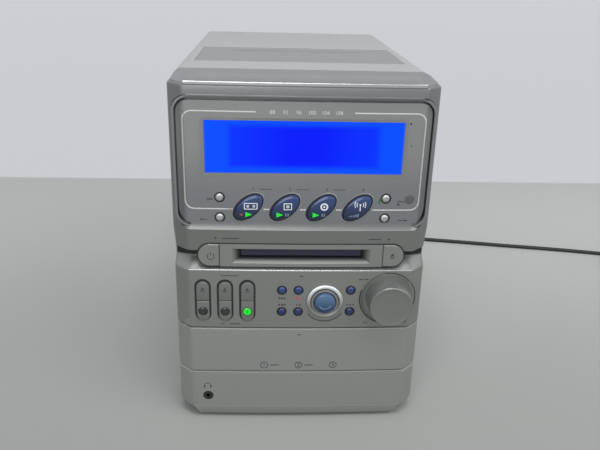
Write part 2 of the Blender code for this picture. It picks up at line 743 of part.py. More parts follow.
def dial_and_knob():
    rear = DIAL_SINK - CLEAR
    ring = ((DIAL_BORE, behind(-DIAL_PROUD + EDGE)), (DIAL_BORE + EDGE, behind(-DIAL_PROUD)),
            (DIAL_RADIUS - EDGE, behind(-DIAL_PROUD)), (DIAL_RADIUS, behind(-DIAL_PROUD + EDGE)),
            (DIAL_RADIUS, behind(rear)), (DIAL_BORE, behind(rear)))
    form = drum(ring, DIAL_X, dial_z, "Y", ROUND_SIDES, ring=True)
    piece("dial_ring", form, "silver", holder=cabinet, pivot=(DIAL_X, behind(0), dial_z))
    skirt = DIAL_SINK - KEY_TRAVEL - CLEAR * 2
    dome = [(0, behind(-DOME_PROUD))]
    for step in (1, 2, 3):
        angle = step / 3 * math.pi / 2
        rise = (DOME_PROUD - DIAL_PROUD) * math.cos(angle) + DIAL_PROUD
        dome.append((DOME_RADIUS * math.sin(angle), behind(-rise)))
    dome += [(DOME_RADIUS, behind(skirt)), (STEM_RADIUS, behind(skirt)), (STEM_RADIUS, behind(key_rear)), (0, behind(key_rear))]
    form = drum(dome, DIAL_X, dial_z, "Y", KEY_SIDES)
    piece("dial_button", form, "blue", holder=cabinet, pivot=(DIAL_X, behind(-DOME_PROUD), dial_z))
    front, low_rim = -KNOB_PROUD, DISH_DEPTH - CLEAR * 2
    small = KNOB_RADIUS - KNOB_TAPER
    knob = ((0, behind(front + EDGE / 2)), (small - KNOB_ROUND * 2, behind(front + EDGE / 2)),
            (small - KNOB_ROUND, behind(front)), (small - EDGE / 2, behind(front + EDGE / 2)),
            (small, behind(front + KNOB_ROUND)), (KNOB_RADIUS, behind(-EDGE)), (KNOB_RADIUS, behind(low_rim)),
            (SHAFT_RADIUS, behind(low_rim)), (SHAFT_RADIUS, behind(boss_depth)), (0, behind(boss_depth)))
    form = drum(knob, KNOB_X, knob_z, "Y", ROUND_SIDES)
    piece("volume_knob", form, "silver", holder=cabinet, pivot=(KNOB_X, behind(0), knob_z))


# Upper housing, its fascia, the display and the source keys


board_depth = HOUSING_CAVITY + CLEAR
fascia_rear = RECESS_DEPTH - CLEAR
fascia_low_z = recess_low_z + RECESS_SLOPE_SHARE * RECESS_DEPTH + CLEAR
fascia_top_z = recess_top_z - GROOVE
fascia_half = RECESS_HALF - GROOVE_SIDE
oval_z = recess_low_z + OVAL_ABOVE_RECESS
window_top = recess_top_z - WINDOW_DROP
window_low = window_top - WINDOW_HEIGHT
display_key_rear = board_depth - KEY_TRAVEL - CLEAR


def housing():
    front_top = TOP_Z - FRONT_DROP
    rings = [(WAIST_Z, CHIN_SLOPE + EDGE), (WAIST_Z + EDGE, CHIN_SLOPE), (recess_low_z, 0), (front_top - TOP_EDGE, 0),
             (front_top - TOP_EDGE / 3, TOP_EDGE / 3), (front_top, TOP_EDGE), (TOP_Z + OVERRUN, TOP_EDGE + EDGE)]
    shell = wrapped(rings, HOUSING_RETURN)
    low = WAIST_Z - OVERRUN
    ends = ((-OVERRUN, section(0, low, TOP_CRISP, TOP_CRISP)), (HOUSING_RETURN, section(0, low)),
            (HOUSING_RETURN + OVERRUN, section(0, low)))
    profile = loft([[(x, behind(depth), z) for x, z in outline] for depth, outline in ends])
    slope = [(behind(TOP_EDGE), front_top), (behind(HOUSING_RETURN + EDGE), TOP_Z),
             (behind(HOUSING_RETURN + EDGE), TOP_Z + OVERRUN * 2), (behind(-OVERRUN), TOP_Z + OVERRUN * 2),
             (behind(-OVERRUN), front_top)]
    wedge = prism(slope, -WIDTH, WIDTH, "X")
    inside = HALF_WIDTH - WALL
    narrow = HALF_WIDTH - CORNER_WIDTH - WALL - EDGE
    middle = HALF_WIDTH - RECESS_DEPTH - WALL
    step = GROOVE_REACH + WALL
    reach = HOUSING_RETURN + OVERRUN
    right = [(narrow, HOUSING_CAVITY), (middle, CORNER_DEPTH + WALL), (middle, step), (inside, step), (inside, reach)]
    outline = [(x, behind(depth)) for x, depth in right] + [(-x, behind(depth)) for x, depth in reversed(right)]
    cavity = prism(outline, WAIST_Z + WALL, TOP_Z - TOP_ROUND_HEIGHT, "Z")
    below = box(-narrow, narrow, behind(SHOULDER_DEPTH + WALL), behind(reach), WAIST_Z - OVERRUN, WAIST_Z + WALL * 2)
    core = wrapped([(WAIST_Z - OVERRUN, -WALL), (recess_low_z - WALL * RECESS_SLOPE_SHARE, -WALL),
                    (recess_low_z + RECESS_DEPTH * RECESS_SLOPE_SHARE, RECESS_DEPTH), (TOP_Z + OVERRUN * 2, RECESS_DEPTH)],
                   HOUSING_RETURN)
    recess = rounded(-RECESS_HALF, RECESS_HALF, recess_low_z - EDGE / 2, recess_top_z, RECESS_RADIUS, 5)
    ledge = FASCIA_LEDGE
    opening = prism(rounded(-fascia_half + ledge * 1.6, fascia_half - ledge * 1.6, fascia_low_z + EDGE / 2,
                            fascia_top_z - ledge, WALL), behind(-OVERRUN), behind(HOUSING_CAVITY + OVERRUN))
    made = piece("display_housing", shell, "silver", common=(profile,), cut=(wedge, cavity, below), holder=cabinet)
    groove = piece("groove_cutter", prism(recess, behind(-OVERRUN), behind(GROOVE_REACH)), "silver", cut=(core,))
    spent = [vertex.co.copy() for vertex in groove.data.vertices], [tuple(face.vertices) for face in groove.data.polygons]
    bpy.data.objects.remove(groove, do_unlink=True)
    for cutter in (spent, opening, strip_opening()):
        combine(made, cutter, "DIFFERENCE")


def oval_x(number):
    return OVAL_PITCH * (number - 2.5)


def small_keys():
    """The four small round keys, as (name, x, z)."""
    high, low = recess_low_z + SMALL_KEY_HIGH, recess_low_z + SMALL_KEY_LOW
    return (("display_button", -SMALL_KEY_X, high), ("skip_back_button", -SMALL_KEY_X, low),
            ("timer_button", SMALL_KEY_X, high), ("skip_forward_button", SMALL_KEY_X, low))


def fascia():
    skin = GROOVE_SIDE / 2 - CLEAR
    reach = FRONT_RETURN
    outer = wrapped([(WAIST_Z, skin), (TOP_Z, skin)], reach)
    inner = wrapped([(WAIST_Z - OVERRUN, fascia_rear), (TOP_Z + OVERRUN, fascia_rear)], reach + OVERRUN)
    outline = prism(rounded(-fascia_half, fascia_half, fascia_low_z, fascia_top_z, RECESS_RADIUS - GROOVE_SIDE, 5),
                    behind(-OVERRUN), behind(reach + OVERRUN))
    window = prism(rounded(-WINDOW_WIDTH / 2, WINDOW_WIDTH / 2, window_low, window_top, WINDOW_RADIUS, 2),
                   behind(-OVERRUN), behind(reach))
    holes = [window]
    for number in range(1, 5):
        holes.append(prism(oval(oval_x(number), oval_z, OVAL_LONG + CLEAR, OVAL_SHORT + CLEAR, OVAL_TILT),
                           behind(-OVERRUN), behind(reach)))
    for _, x, z in small_keys():
        holes.append(key_hole(x, z, ROUND_KEY_RADIUS, reach))
    piece("display_fascia", outer, "silver", common=(outline,), cut=(inner, together(*holes)), holder=cabinet)
    half, low, high = WINDOW_WIDTH / 2 - CLEAR, window_low + CLEAR, window_top - CLEAR
    sheet = prism(rounded(-half, half, low, high, WINDOW_RADIUS, 2), behind(skin + EDGE), behind(fascia_rear))
    piece("display_window", sheet, "window", holder=cabinet)
    wide = HALF_WIDTH - CORNER_WIDTH - WALL * 1.5
    plate = box(-wide, wide, behind(board_depth), behind(board_depth + BOARD_THICK), WAIST_Z + WALL * 3, fascia_top_z)
    screen = box(-half + SCREEN_MARGIN, half - SCREEN_MARGIN, behind(fascia_rear + CLEAR), behind(board_depth + EDGE),
                 low + EDGE, high - EDGE)
    piece("display_board", plate, "board", join=(screen,), holder=cabinet)


def source_keys():
    for number in range(1, 5):
        x = oval_x(number)
        face = face_depth(x) + GROOVE_SIDE / 2
        rings = []
        for share, proud in ((0.35, OVAL_PROUD), (0.72, OVAL_PROUD * 0.8), (0.93, OVAL_PROUD * 0.4), (1.0, 0), (1.0, None)):
            y = behind(display_key_rear) if proud is None else behind(face - proud)
            outline = oval(x, oval_z, OVAL_LONG * share, OVAL_SHORT * share, OVAL_TILT)
            rings.append([(u, y, v) for u, v in outline])
        piece(f"source_button_{number}", loft(rings), "blue", holder=cabinet, pivot=(x, behind(face), oval_z))
    for name, x, z in small_keys():
        round_key(name, x, z, ROUND_KEY_RADIUS, 0, display_key_rear, "silver")


# Slot strip, its keys and flap, and the cartridge deck behind it

mouth_low = strip_z - MOUTH_HEIGHT / 2 - MOUTH_DROP
mouth_top = mouth_low + MOUTH_HEIGHT
slot_top = mouth_top - CLEAR
slot_low = slot_top - SLOT_HEIGHT
flap_depth = MOUTH_DEPTH + FLAP_THICK


def slot_strip():
    whole = prism(strip_outline(0), behind(-OVERRUN), behind(STRIP_THICK))
    bowed = wrapped([(strip_z - STRIP_HEIGHT, 0), (strip_z + STRIP_HEIGHT, 0)], STRIP_THICK)
    middle = STRIP_WIDTH / 2 - STRIP_KEY_WIDTH
    bar = box(-middle + CLEAR, middle - CLEAR, behind(-OVERRUN), behind(STRIP_THICK), strip_z - STRIP_HEIGHT,
              strip_z + STRIP_HEIGHT)
    wide, narrow = MOUTH_WIDTH / 2, SLOT_WIDTH / 2
    mouth = loft([
        [(x, behind(-OVERRUN / 2), z) for x, z in rectangle(-wide, wide, mouth_low, mouth_top)],
        [(x, behind(MOUTH_DEPTH), z) for x, z in rectangle(-narrow, narrow, slot_low, slot_top)],
        [(x, behind(STRIP_THICK + OVERRUN), z) for x, z in rectangle(-narrow, narrow, slot_low, slot_top)],
    ])
    room = box(-narrow, narrow, behind(MOUTH_DEPTH + EDGE), behind(STRIP_THICK + OVERRUN), slot_top - EDGE,
               slot_top + FLAP_THICK)
    pins = prism(circle(behind(flap_depth), slot_top - FLAP_PIN_RADIUS, FLAP_PIN_RADIUS + CLEAR, SMALL_SIDES),
                 -narrow - FLAP_PIN_LENGTH - CLEAR, narrow + FLAP_PIN_LENGTH + CLEAR, "X")
    piece("slot_strip", whole, "silver", common=(bowed, bar), cut=(mouth, room, pins), holder=cabinet)
    pivot = (0, behind(flap_depth), slot_top - FLAP_PIN_RADIUS)
    leaf = box(-narrow + CLEAR, narrow - CLEAR, behind(flap_depth - FLAP_THICK / 2), behind(flap_depth + FLAP_THICK / 2),
               slot_low + CLEAR, slot_top - CLEAR)
    pin = prism(circle(behind(flap_depth), slot_top - FLAP_PIN_RADIUS, FLAP_PIN_RADIUS, SMALL_SIDES),
                -narrow - FLAP_PIN_LENGTH, narrow + FLAP_PIN_LENGTH, "X")
    piece("cartridge_flap", leaf, "black", join=(pin,), holder=cabinet, pivot=pivot)
    for name, side in (("standby_button", -1), ("cartridge_eject_button", 1)):
        outline = [(u, v) for u, v in strip_outline(-CLEAR / 2) if side * u > middle]
        outline += [(side * middle, strip_z + side * (strip_round - CLEAR)), (side * middle, strip_z - side * (strip_round - CLEAR))]
        centre = side * (middle + STRIP_KEY_WIDTH / 3)
        outline.sort(key=lambda spot: math.atan2(spot[1] - strip_z, spot[0] - centre))
        face = face_depth(centre)
        slab_key(name, outline, face - EDGE / 2, STRIP_KEY_THICK, "silver")


def cartridge_deck():
    front = STRIP_THICK + CLEAR
    low = strip_z - DECK_HEIGHT / 2
    high = strip_z + DECK_HEIGHT / 2
    half = DECK_WIDTH / 2
    body = box(-half, half, behind(front), behind(front + DECK_DEPTH), low, high)
    well = CARTRIDGE_WIDTH / 2 + CLEAR * 2
    roof = slot_low + CARTRIDGE_HEIGHT
    bay = box(-well, well, behind(front - OVERRUN), behind(front + CARTRIDGE_DEPTH), slot_low - EDGE, roof)
    top_hole = box(-well / 2, well / 2, behind(front + CARTRIDGE_DEPTH / 3), behind(front + CARTRIDGE_DEPTH * 0.8),
                   roof - EDGE, high + OVERRUN)
    belly = box(-well / 2, well / 2, behind(front + CARTRIDGE_DEPTH / 4), behind(front + CARTRIDGE_DEPTH / 2),
                low - OVERRUN, slot_low)
    brackets = []
    leg = LOADER_LEG
    for side in (-1, 1):
        x0, x1 = sorted((side * (half - EDGE), side * (LOADER_HALF)))
        shelf = box(x0, x1, behind(front + DECK_DEPTH / 2), behind(front + DECK_DEPTH / 2 + leg * 3), low, low + SHEET * 2)
        x2, x3 = sorted((side * LOADER_HALF, side * (LOADER_HALF - SHEET * 1.5)))
        drop = box(x2, x3, behind(front + DECK_DEPTH / 2), behind(front + DECK_DEPTH / 2 + leg * 3),
                   loader_z + LOADER_WALL_HEIGHT + CLEAR, low + SHEET)
        brackets += [shelf, drop]
    piece("cartridge_deck", body, "steel", join=brackets, cut=(bay, top_hole, belly), holder=cabinet)


# Disc loader, its drawer and what turns in it

loader_z = LOW_SEAM_Z + LOADER_LIFT - WALL / 2
loader_floor = loader_z + LOADER_FLOOR
drawer_low = LOW_SEAM_Z + DRAWER_LIFT + WALL
drawer_high = drawer_low + DRAWER_THICK
disc_floor = drawer_high - DISC_SINK
pinion_pitch = GEAR_MODULE * PINION_TEETH / 2
pitch_line = DRAWER_HALF + GEAR_MODULE * 1.25
pinion_x = -(pitch_line + pinion_pitch)
disc_y = behind(DISC_DEPTH)
TOOTH_SHARES = ((-0.36, -1.25), (-0.14, 1.0), (0.14, 1.0), (0.36, -1.25))


def rack_outline(front, rear):
    """The rack's toothed edge, seen from above, with its back inside the drawer's rim."""
    pitch = math.pi * GEAR_MODULE
    phase = behind(PINION_DEPTH) + pitch / 2
    first = math.ceil((front - phase) / pitch + 0.5)
    last = math.floor((rear - phase) / pitch - 0.5)
    points = [(-DRAWER_HALF + WALL, front), (-pitch_line + GEAR_MODULE * 1.25, front)]
    for tooth in range(first, last + 1):
        middle = phase + tooth * pitch
        for along, out in TOOTH_SHARES:
            points.append((-pitch_line - GEAR_MODULE * out * 0.9, middle + along * pitch))
    points += [(-pitch_line + GEAR_MODULE * 1.25, rear), (-DRAWER_HALF + WALL, rear)]
    return points


def pinion_outline():
    points = []
    for tooth in range(PINION_TEETH):
        for along, out in TOOTH_SHARES:
            radius = pinion_pitch + GEAR_MODULE * out * 0.9
            width = along if out < 0 else along * 0.8
            angle = 2 * math.pi * (tooth + width * 0.92) / PINION_TEETH
            points.append((pinion_x + radius * math.cos(angle), behind(PINION_DEPTH) + radius * math.sin(angle)))
    return points


def loader():
    half, wall = LOADER_HALF, SHEET * 1.5
    front, rear = behind(LOADER_FRONT), behind(LOADER_FRONT + LOADER_DEPTH)
    top = loader_z + LOADER_WALL_HEIGHT
    body = box(-half, half, front, rear, loader_z, top)
    hollow = box(-half + wall, half - wall, front - OVERRUN, rear - wall, loader_floor, top + OVERRUN)
    sled_rear = DISC_DEPTH + TURNTABLE_RADIUS + PICKUP_GAP + PICKUP_LENGTH + PICKUP_TRAVEL + WALL
    sled = box(-SLOT_HALF + EDGE, SLOT_HALF - EDGE, behind(DISC_DEPTH + MOTOR_RADIUS + WALL), behind(sled_rear),
               loader_z - OVERRUN, loader_floor + OVERRUN)
    runners, rods, legs = [], [], []
    for side in (-1, 1):
        x0, x1 = sorted((side * RUNNER_X, side * (RUNNER_X - RUNNER_WIDTH)))
        runners.append(box(x0, x1, front, rear - wall * 2, loader_floor - EDGE, drawer_low - CLEAR))
        rod_z = loader_floor + PICKUP_HEIGHT / 2
        rods.append(prism(circle(side * ROD_X, rod_z, ROD_RADIUS, 8), behind(DISC_DEPTH + MOTOR_RADIUS + WALL / 2),
                          behind(sled_rear + WALL / 2)))
    rod_z = loader_floor + PICKUP_HEIGHT / 2
    for depth in (DISC_DEPTH + MOTOR_RADIUS + WALL / 2, sled_rear + WALL / 2):
        rods.append(box(-SLOT_HALF + EDGE * 2, SLOT_HALF - EDGE * 2, behind(depth - SHEET / 2), behind(depth + SHEET / 2),
                        loader_floor - EDGE, rod_z + ROD_RADIUS * 1.8))
    bridge = box(-half + EDGE, half - EDGE, disc_y - BRIDGE_DEPTH / 2, disc_y + BRIDGE_DEPTH / 2, top - BRIDGE_THICK, top)
    post = prism(circle(pinion_x, behind(PINION_DEPTH), PINION_BORE - CLEAR, SMALL_SIDES), loader_floor - EDGE,
                 drawer_high, "Z")
    for side in (-1, 1):
        for depth in (LOADER_FRONT + LOADER_LEG, LOADER_FRONT + LOADER_DEPTH - LOADER_LEG * 2):
            x0, x1 = sorted((side * half, side * (half - LOADER_LEG)))
            legs.append(box(x0, x1, behind(depth), behind(depth + LOADER_LEG), floor_z + CLEAR, loader_z + EDGE))
    shelf = box(pinion_x - PINION_BORE * 1.6, pinion_x + PINION_BORE * 1.6, behind(PINION_DEPTH) - PINION_BORE * 1.6,
                behind(PINION_DEPTH) + PINION_BORE * 1.6, loader_floor - EDGE, drawer_low - CLEAR)
    motor_top = loader_floor + MOTOR_HEIGHT
    motor = drum(((0, loader_floor - EDGE), (MOTOR_RADIUS, loader_floor - EDGE), (MOTOR_RADIUS, motor_top - EDGE),
                  (MOTOR_RADIUS - EDGE, motor_top), (0, motor_top)), 0, disc_y, "Z", KEY_SIDES)
    piece("disc_loader_frame", body, "black", cut=(hollow, sled), holder=cabinet)
    frame = bpy.data.objects["disc_loader_frame"]
    for more in (*runners, bridge, shelf, post, motor, *rods, *legs):
        combine(frame, more, "UNION")


def drawer():
    carrier = holder("drawer_assembly", (0, behind(0), drawer_low))
    front = DRAWER_START
    rear = front + DRAWER_LENGTH
    plate = box(-DRAWER_HALF, DRAWER_HALF, behind(front), behind(rear), drawer_low, drawer_high)
    disc = prism(circle(0, disc_y, DISC_RADIUS, 40), disc_floor, drawer_high + OVERRUN, "Z")
    small = prism(circle(0, disc_y, SMALL_DISC_RADIUS, 32), disc_floor - DISC_SINK / 2, drawer_high + OVERRUN, "Z")
    slot = prism(rounded(-SLOT_HALF, SLOT_HALF, disc_y - SLOT_HALF, behind(rear + SLOT_HALF * 2), SLOT_HALF * 0.999, 6),
                 drawer_low - OVERRUN, drawer_high + OVERRUN, "Z")
    rack_front = behind(RACK_FRONT)
    rack_rear = behind(rear - WALL)
    rack = prism(rack_outline(rack_front, rack_rear), drawer_low, drawer_low + PINION_HEIGHT - EDGE, "Z")
    piece("disc_drawer", plate, "black", join=(rack,), cut=(disc, small, slot), holder=carrier)
    rings = [(LOW_SEAM_Z, EDGE), (LOW_SEAM_Z + EDGE, 0), (HIGH_SEAM_Z - CLEAR - EDGE, 0), (HIGH_SEAM_Z - CLEAR, EDGE)]
    hollow = wrapped([(LOW_SEAM_Z + WALL, WALL), (HIGH_SEAM_Z - CLEAR - WALL, WALL)], FRONT_RETURN + OVERRUN)
    lug = box(-DRAWER_HALF, DRAWER_HALF, behind(EDGE * 3), behind(FRONT_RETURN / 2), LOW_SEAM_Z + WALL / 2, drawer_low - CLEAR)
    shell = piece("drawer_front", wrapped(rings, FRONT_RETURN), "silver", cut=(hollow,), holder=carrier)
    combine(shell, lug, "UNION")
    outline = pinion_outline()
    low = drawer_low
    gear = prism(outline, low, low + PINION_HEIGHT, "Z")
    bore = prism(circle(pinion_x, behind(PINION_DEPTH), PINION_BORE, SMALL_SIDES), low - OVERRUN, low + PINION_HEIGHT * 2, "Z")
    cap = prism(circle(pinion_x, behind(PINION_DEPTH), PINION_BORE * 1.6, KEY_SIDES), low + PINION_HEIGHT - EDGE / 2,
                drawer_high - CLEAR, "Z")
    piece("drawer_pinion", gear, "white", join=(cap,), cut=(bore,), holder=cabinet, pivot=(pinion_x, behind(PINION_DEPTH), low))


def disc_motor_and_pickup():
    platter_low = disc_floor - DISC_SINK / 2
    platter_top = disc_floor - CLEAR
    hub_top = platter_top + HUB_HEIGHT
    motor_top = loader_floor + MOTOR_HEIGHT
    profile = ((0, motor_top + CLEAR), (HUB_RADIUS * 0.7, motor_top + CLEAR), (HUB_RADIUS * 0.7, platter_low),
               (TURNTABLE_RADIUS, platter_low), (TURNTABLE_RADIUS, platter_top), (HUB_RADIUS, platter_top),
               (HUB_RADIUS, platter_top + HUB_HEIGHT / 2), (HUB_RADIUS * 0.8, hub_top), (0, hub_top))
    piece("turntable", drum(profile, 0, disc_y, "Z"), "black", holder=cabinet, pivot=(0, disc_y, platter_low))
    start = DISC_DEPTH + MOTOR_RADIUS + PICKUP_GAP + WALL
    half = PICKUP_WIDTH / 2
    low, high = loader_floor - EDGE * 2, loader_floor + PICKUP_HEIGHT
    body = box(-half, half, behind(start), behind(start + PICKUP_LENGTH), low, high)
    lens_y = behind(start + PICKUP_LENGTH / 2)
    lens = prism(circle(0, lens_y, LENS_RADIUS, KEY_SIDES), high - EDGE, high + LENS_HEIGHT, "Z")
    rod_z = loader_floor + PICKUP_HEIGHT / 2
    bores = [prism(circle(side * ROD_X, rod_z, ROD_RADIUS + CLEAR, 8), behind(start) - OVERRUN,
                   behind(start + PICKUP_LENGTH) + OVERRUN) for side in (-1, 1)]
    piece("pickup", body, "black", join=(lens,), cut=(together(*bores),), holder=cabinet, pivot=(0, behind(start), low))


# Top cover, tape deck and its lid

lid_pivot_z = TOP_Z - KNUCKLE_RADIUS
lid_pivot_y = behind(LID_REAR - KNUCKLE_RADIUS)
tape_top = TOP_Z - SHEET - CLEAR
tape_low = tape_top - TAPE_FRAME_HEIGHT
tape_floor = tape_low + TAPE_FRAME_WALL
lid_half = LID_WIDTH / 2


def top_cover():
    low = BASE_Z + COVER_LIFT
    front = behind(FRONT_RETURN + CLEAR)
    shell = prism(section(0, low), front, behind(BODY_DEPTH))
    hollow = prism(section(SHEET, low - OVERRUN), front - OVERRUN, behind(BODY_DEPTH + OVERRUN))
    upper = box(-WIDTH, WIDTH, front - OVERRUN, behind(HOUSING_RETURN + CLEAR), WAIST_Z - CLEAR, TOP_Z + OVERRUN)
    gap = LID_GAP
    lid = box(-lid_half - gap, lid_half + gap, behind(LID_FRONT - gap), behind(LID_REAR + gap), TOP_Z - SHEET - OVERRUN,
              TOP_Z + OVERRUN)
    vents = []
    for side in (-1, 1):
        for number in range(VENT_COUNT):
            x = side * VENT_GROUP_X + VENT_PITCH * (number - (VENT_COUNT - 1) / 2)
            vents.append(box(x - VENT_LENGTH / 2, x + VENT_LENGTH / 2, behind(VENT_DEPTH), behind(VENT_DEPTH + VENT_WIDTH),
                             TOP_Z - SHEET - OVERRUN, TOP_Z + OVERRUN))
    piece("top_cover", shell, "cover", cut=(hollow, upper, lid, together(*vents)), holder=cabinet)


def tape_deck():
    half, wall = TAPE_FRAME_HALF, TAPE_FRAME_WALL
    front, rear = LID_FRONT - wall, LID_REAR + wall * 2
    side_rear = LID_REAR - KNUCKLE_RADIUS * 2 - wall
    lid_low = TOP_Z - LID_THICK
    body = box(-half, half, behind(front), behind(rear), tape_low, tape_top)
    hollow = box(-half + wall, half - wall, behind(front + wall), behind(rear - wall), tape_floor, tape_top + OVERRUN)
    knuckle = box(-lid_half - CLEAR * 2, lid_half + CLEAR * 2, behind(side_rear), behind(LID_REAR + CLEAR * 2),
                  lid_pivot_z - KNUCKLE_RADIUS - CLEAR * 4, tape_top + OVERRUN)
    rim = box(-half - OVERRUN, half + OVERRUN, behind(front + wall), behind(side_rear + EDGE), lid_low - CLEAR,
              tape_top + OVERRUN)
    lip = box(-half - OVERRUN, half + OVERRUN, behind(LID_FRONT - CLEAR * 2), behind(front + wall + EDGE),
              lid_low - CLEAR, tape_top + OVERRUN)
    ears = []
    for side in (-1, 1):
        x0, x1 = sorted((side * (lid_half + CLEAR * 2), side * (lid_half + CLEAR * 2 + LID_PIN_LENGTH)))
        ears.append(box(x0, x1, behind(side_rear), behind(rear - EDGE), tape_low + wall, tape_top - EDGE))
        x2, x3 = sorted((side * (half - wall), side * (lid_half + CLEAR * 2 + LID_PIN_LENGTH - EDGE)))
        ears.append(box(x2, x3, behind(rear - wall), behind(rear), tape_low + wall * 2, tape_top - EDGE * 2))
    pins = [box(-lid_half - OVERRUN * 2, lid_half + OVERRUN * 2, lid_pivot_y - LID_PIN_RADIUS - CLEAR,
                lid_pivot_y + LID_PIN_RADIUS + CLEAR, lid_pivot_z - LID_PIN_RADIUS - CLEAR, tape_top + OVERRUN)]
    hubs = [prism(circle(side * HUB_SPACING / 2, behind(LID_FRONT + HUB_FROM_FRONT), HUB_SHAFT_RADIUS + CLEAR, KEY_SIDES),
                  tape_low - OVERRUN, tape_floor + OVERRUN, "Z") for side in (-1, 1)]
    made = piece("tape_deck_frame", body, "black", cut=(hollow,), holder=cabinet)
    for ear in ears:
        combine(made, ear, "UNION")
    for cutter in (knuckle, together(rim), lip, *pins, together(*hubs)):
        combine(made, cutter, "DIFFERENCE")


def lid():
    carrier = holder("lid_assembly", (0, lid_pivot_y, lid_pivot_z))
    low = TOP_Z - LID_THICK
    plate = box(-lid_half, lid_half, behind(LID_FRONT), lid_pivot_y, low, TOP_Z)
    knuckle = prism(circle(lid_pivot_y, lid_pivot_z, KNUCKLE_RADIUS, KEY_SIDES), -lid_half, lid_half, "X")
    pin = prism(circle(lid_pivot_y, lid_pivot_z, LID_PIN_RADIUS, SMALL_SIDES), -lid_half - LID_PIN_LENGTH,
                lid_half + LID_PIN_LENGTH, "X")
    slot = box(-LID_SLOT_WIDTH / 2, LID_SLOT_WIDTH / 2, behind(LID_SLOT_DEPTH), behind(LID_SLOT_DEPTH + LID_SLOT_LENGTH),
               TOP_Z - LID_THICK / 2, TOP_Z + OVERRUN)
    bottom = low - HOLDER_HEIGHT
    holder_body = box(-HOLDER_HALF, HOLDER_HALF, behind(HOLDER_FRONT), behind(HOLDER_REAR), bottom, low + EDGE / 2)
    wall = HOLDER_WALL
    bay = box(-HOLDER_HALF + wall, HOLDER_HALF - wall, behind(HOLDER_FRONT - OVERRUN), behind(HOLDER_REAR - wall),
              bottom + wall, low - EDGE / 2)
    mouth = box(-HOLDER_HALF + wall + HOLDER_LIP, HOLDER_HALF - wall - HOLDER_LIP, behind(HOLDER_FRONT - OVERRUN),
                behind(HOLDER_REAR - wall * 2), bottom - OVERRUN, bottom + wall + EDGE)
    piece("cassette_lid", plate, "cover", join=(knuckle, pin, holder_body), cut=(slot, bay, mouth), holder=carrier)


def tape_hubs():
    y = behind(LID_FRONT + HUB_FROM_FRONT)
    low = tape_floor + CLEAR
    disc_top = low + HUB_DISC_HEIGHT
    top = disc_top + HUB_SHAFT_HEIGHT
    for name, side in (("supply_spindle", -1), ("take_up_spindle", 1)):
        x = side * HUB_SPACING / 2
        profile = ((0, tape_low), (HUB_SHAFT_RADIUS, tape_low), (HUB_SHAFT_RADIUS, low), (HUB_DISC_RADIUS, low),
                   (HUB_DISC_RADIUS, disc_top), (HUB_SHAFT_RADIUS, disc_top), (HUB_SHAFT_RADIUS, top - EDGE),
                   (HUB_SHAFT_RADIUS - EDGE, top), (0, top))
        fins = []
        for turn in range(3):
            angle = turn * 2 * math.pi / 3
            u, v = math.cos(angle), math.sin(angle)
            reach, thick = HUB_SHAFT_RADIUS + HUB_SPLINE, HUB_SPLINE / 2
            outline = [(x + a * u - b * v, y + a * v + b * u) for a, b in rectangle(HUB_SPLINE, reach, -thick, thick)]
            fins.append(prism(outline, disc_top - EDGE / 2, top - EDGE * 2, "Z"))
        piece(name, drum(profile, x, y, "Z", KEY_SIDES), "white", join=fins, holder=cabinet, pivot=(x, y, low))


# Rear panel, boards and transformer


def rear():
    low, high = BASE_Z + COVER_LIFT, TOP_Z - TOP_ROUND_HEIGHT - SHEET
    half = INNER_HALF
    back = behind(REAR_PANEL_DEPTH + SHEET)
    corner = [(half, low), (half, high), (half - TOP_ROUND_WIDTH, TOP_Z - SHEET - CLEAR)]
    outline = corner + [(-x, z) for x, z in reversed(corner)]
    plate = prism(outline, behind(REAR_PANEL_DEPTH), back)
    slits = []
    for row in range(SLIT_COUNT):
        z = SLIT_LOW_Z + SLIT_PITCH * row
        slits.append(box(-SLIT_WIDTH / 2, SLIT_WIDTH / 2, behind(REAR_PANEL_DEPTH) - OVERRUN, back + OVERRUN, z, z + SLIT_HEIGHT))
    holes = [prism(circle(CORD_EXIT_X, CORD_EXIT_Z, BUSHING_RADIUS + CLEAR, KEY_SIDES), behind(REAR_PANEL_DEPTH) - OVERRUN,
                   back + OVERRUN)]
    plate_half = SOCKET_PITCH * 0.45
    high_socket = SOCKET_Z + SOCKET_PITCH * 2
    opening = box(SOCKET_X - plate_half, SOCKET_X + SOCKET_PITCH + plate_half, behind(REAR_PANEL_DEPTH) - OVERRUN,
                  back + OVERRUN, SOCKET_Z - plate_half, high_socket + plate_half)
    piece("rear_panel", plate, "steel", cut=(together(*slits, *holes, opening),), holder=cabinet)
    inner = behind(REAR_PANEL_DEPTH) - CLEAR
    base = box(SOCKET_X - plate_half - WALL, SOCKET_X + SOCKET_PITCH + plate_half + WALL, inner - SOCKET_PLATE, inner,
               SOCKET_Z - plate_half - WALL, high_socket + plate_half + WALL)
    shells, bores = [], []
    for column in range(2):
        for row in range(3):
            x, z = SOCKET_X + SOCKET_PITCH * column, SOCKET_Z + SOCKET_PITCH * row
            shells.append(prism(circle(x, z, SOCKET_RADIUS, KEY_SIDES), inner - EDGE, inner + SOCKET_PROUD))
            bores.append(prism(circle(x, z, SOCKET_BORE, 8), inner, inner + SOCKET_PROUD + OVERRUN))
    piece("rear_sockets", base, "black", join=shells, cut=(together(*bores),), holder=cabinet)


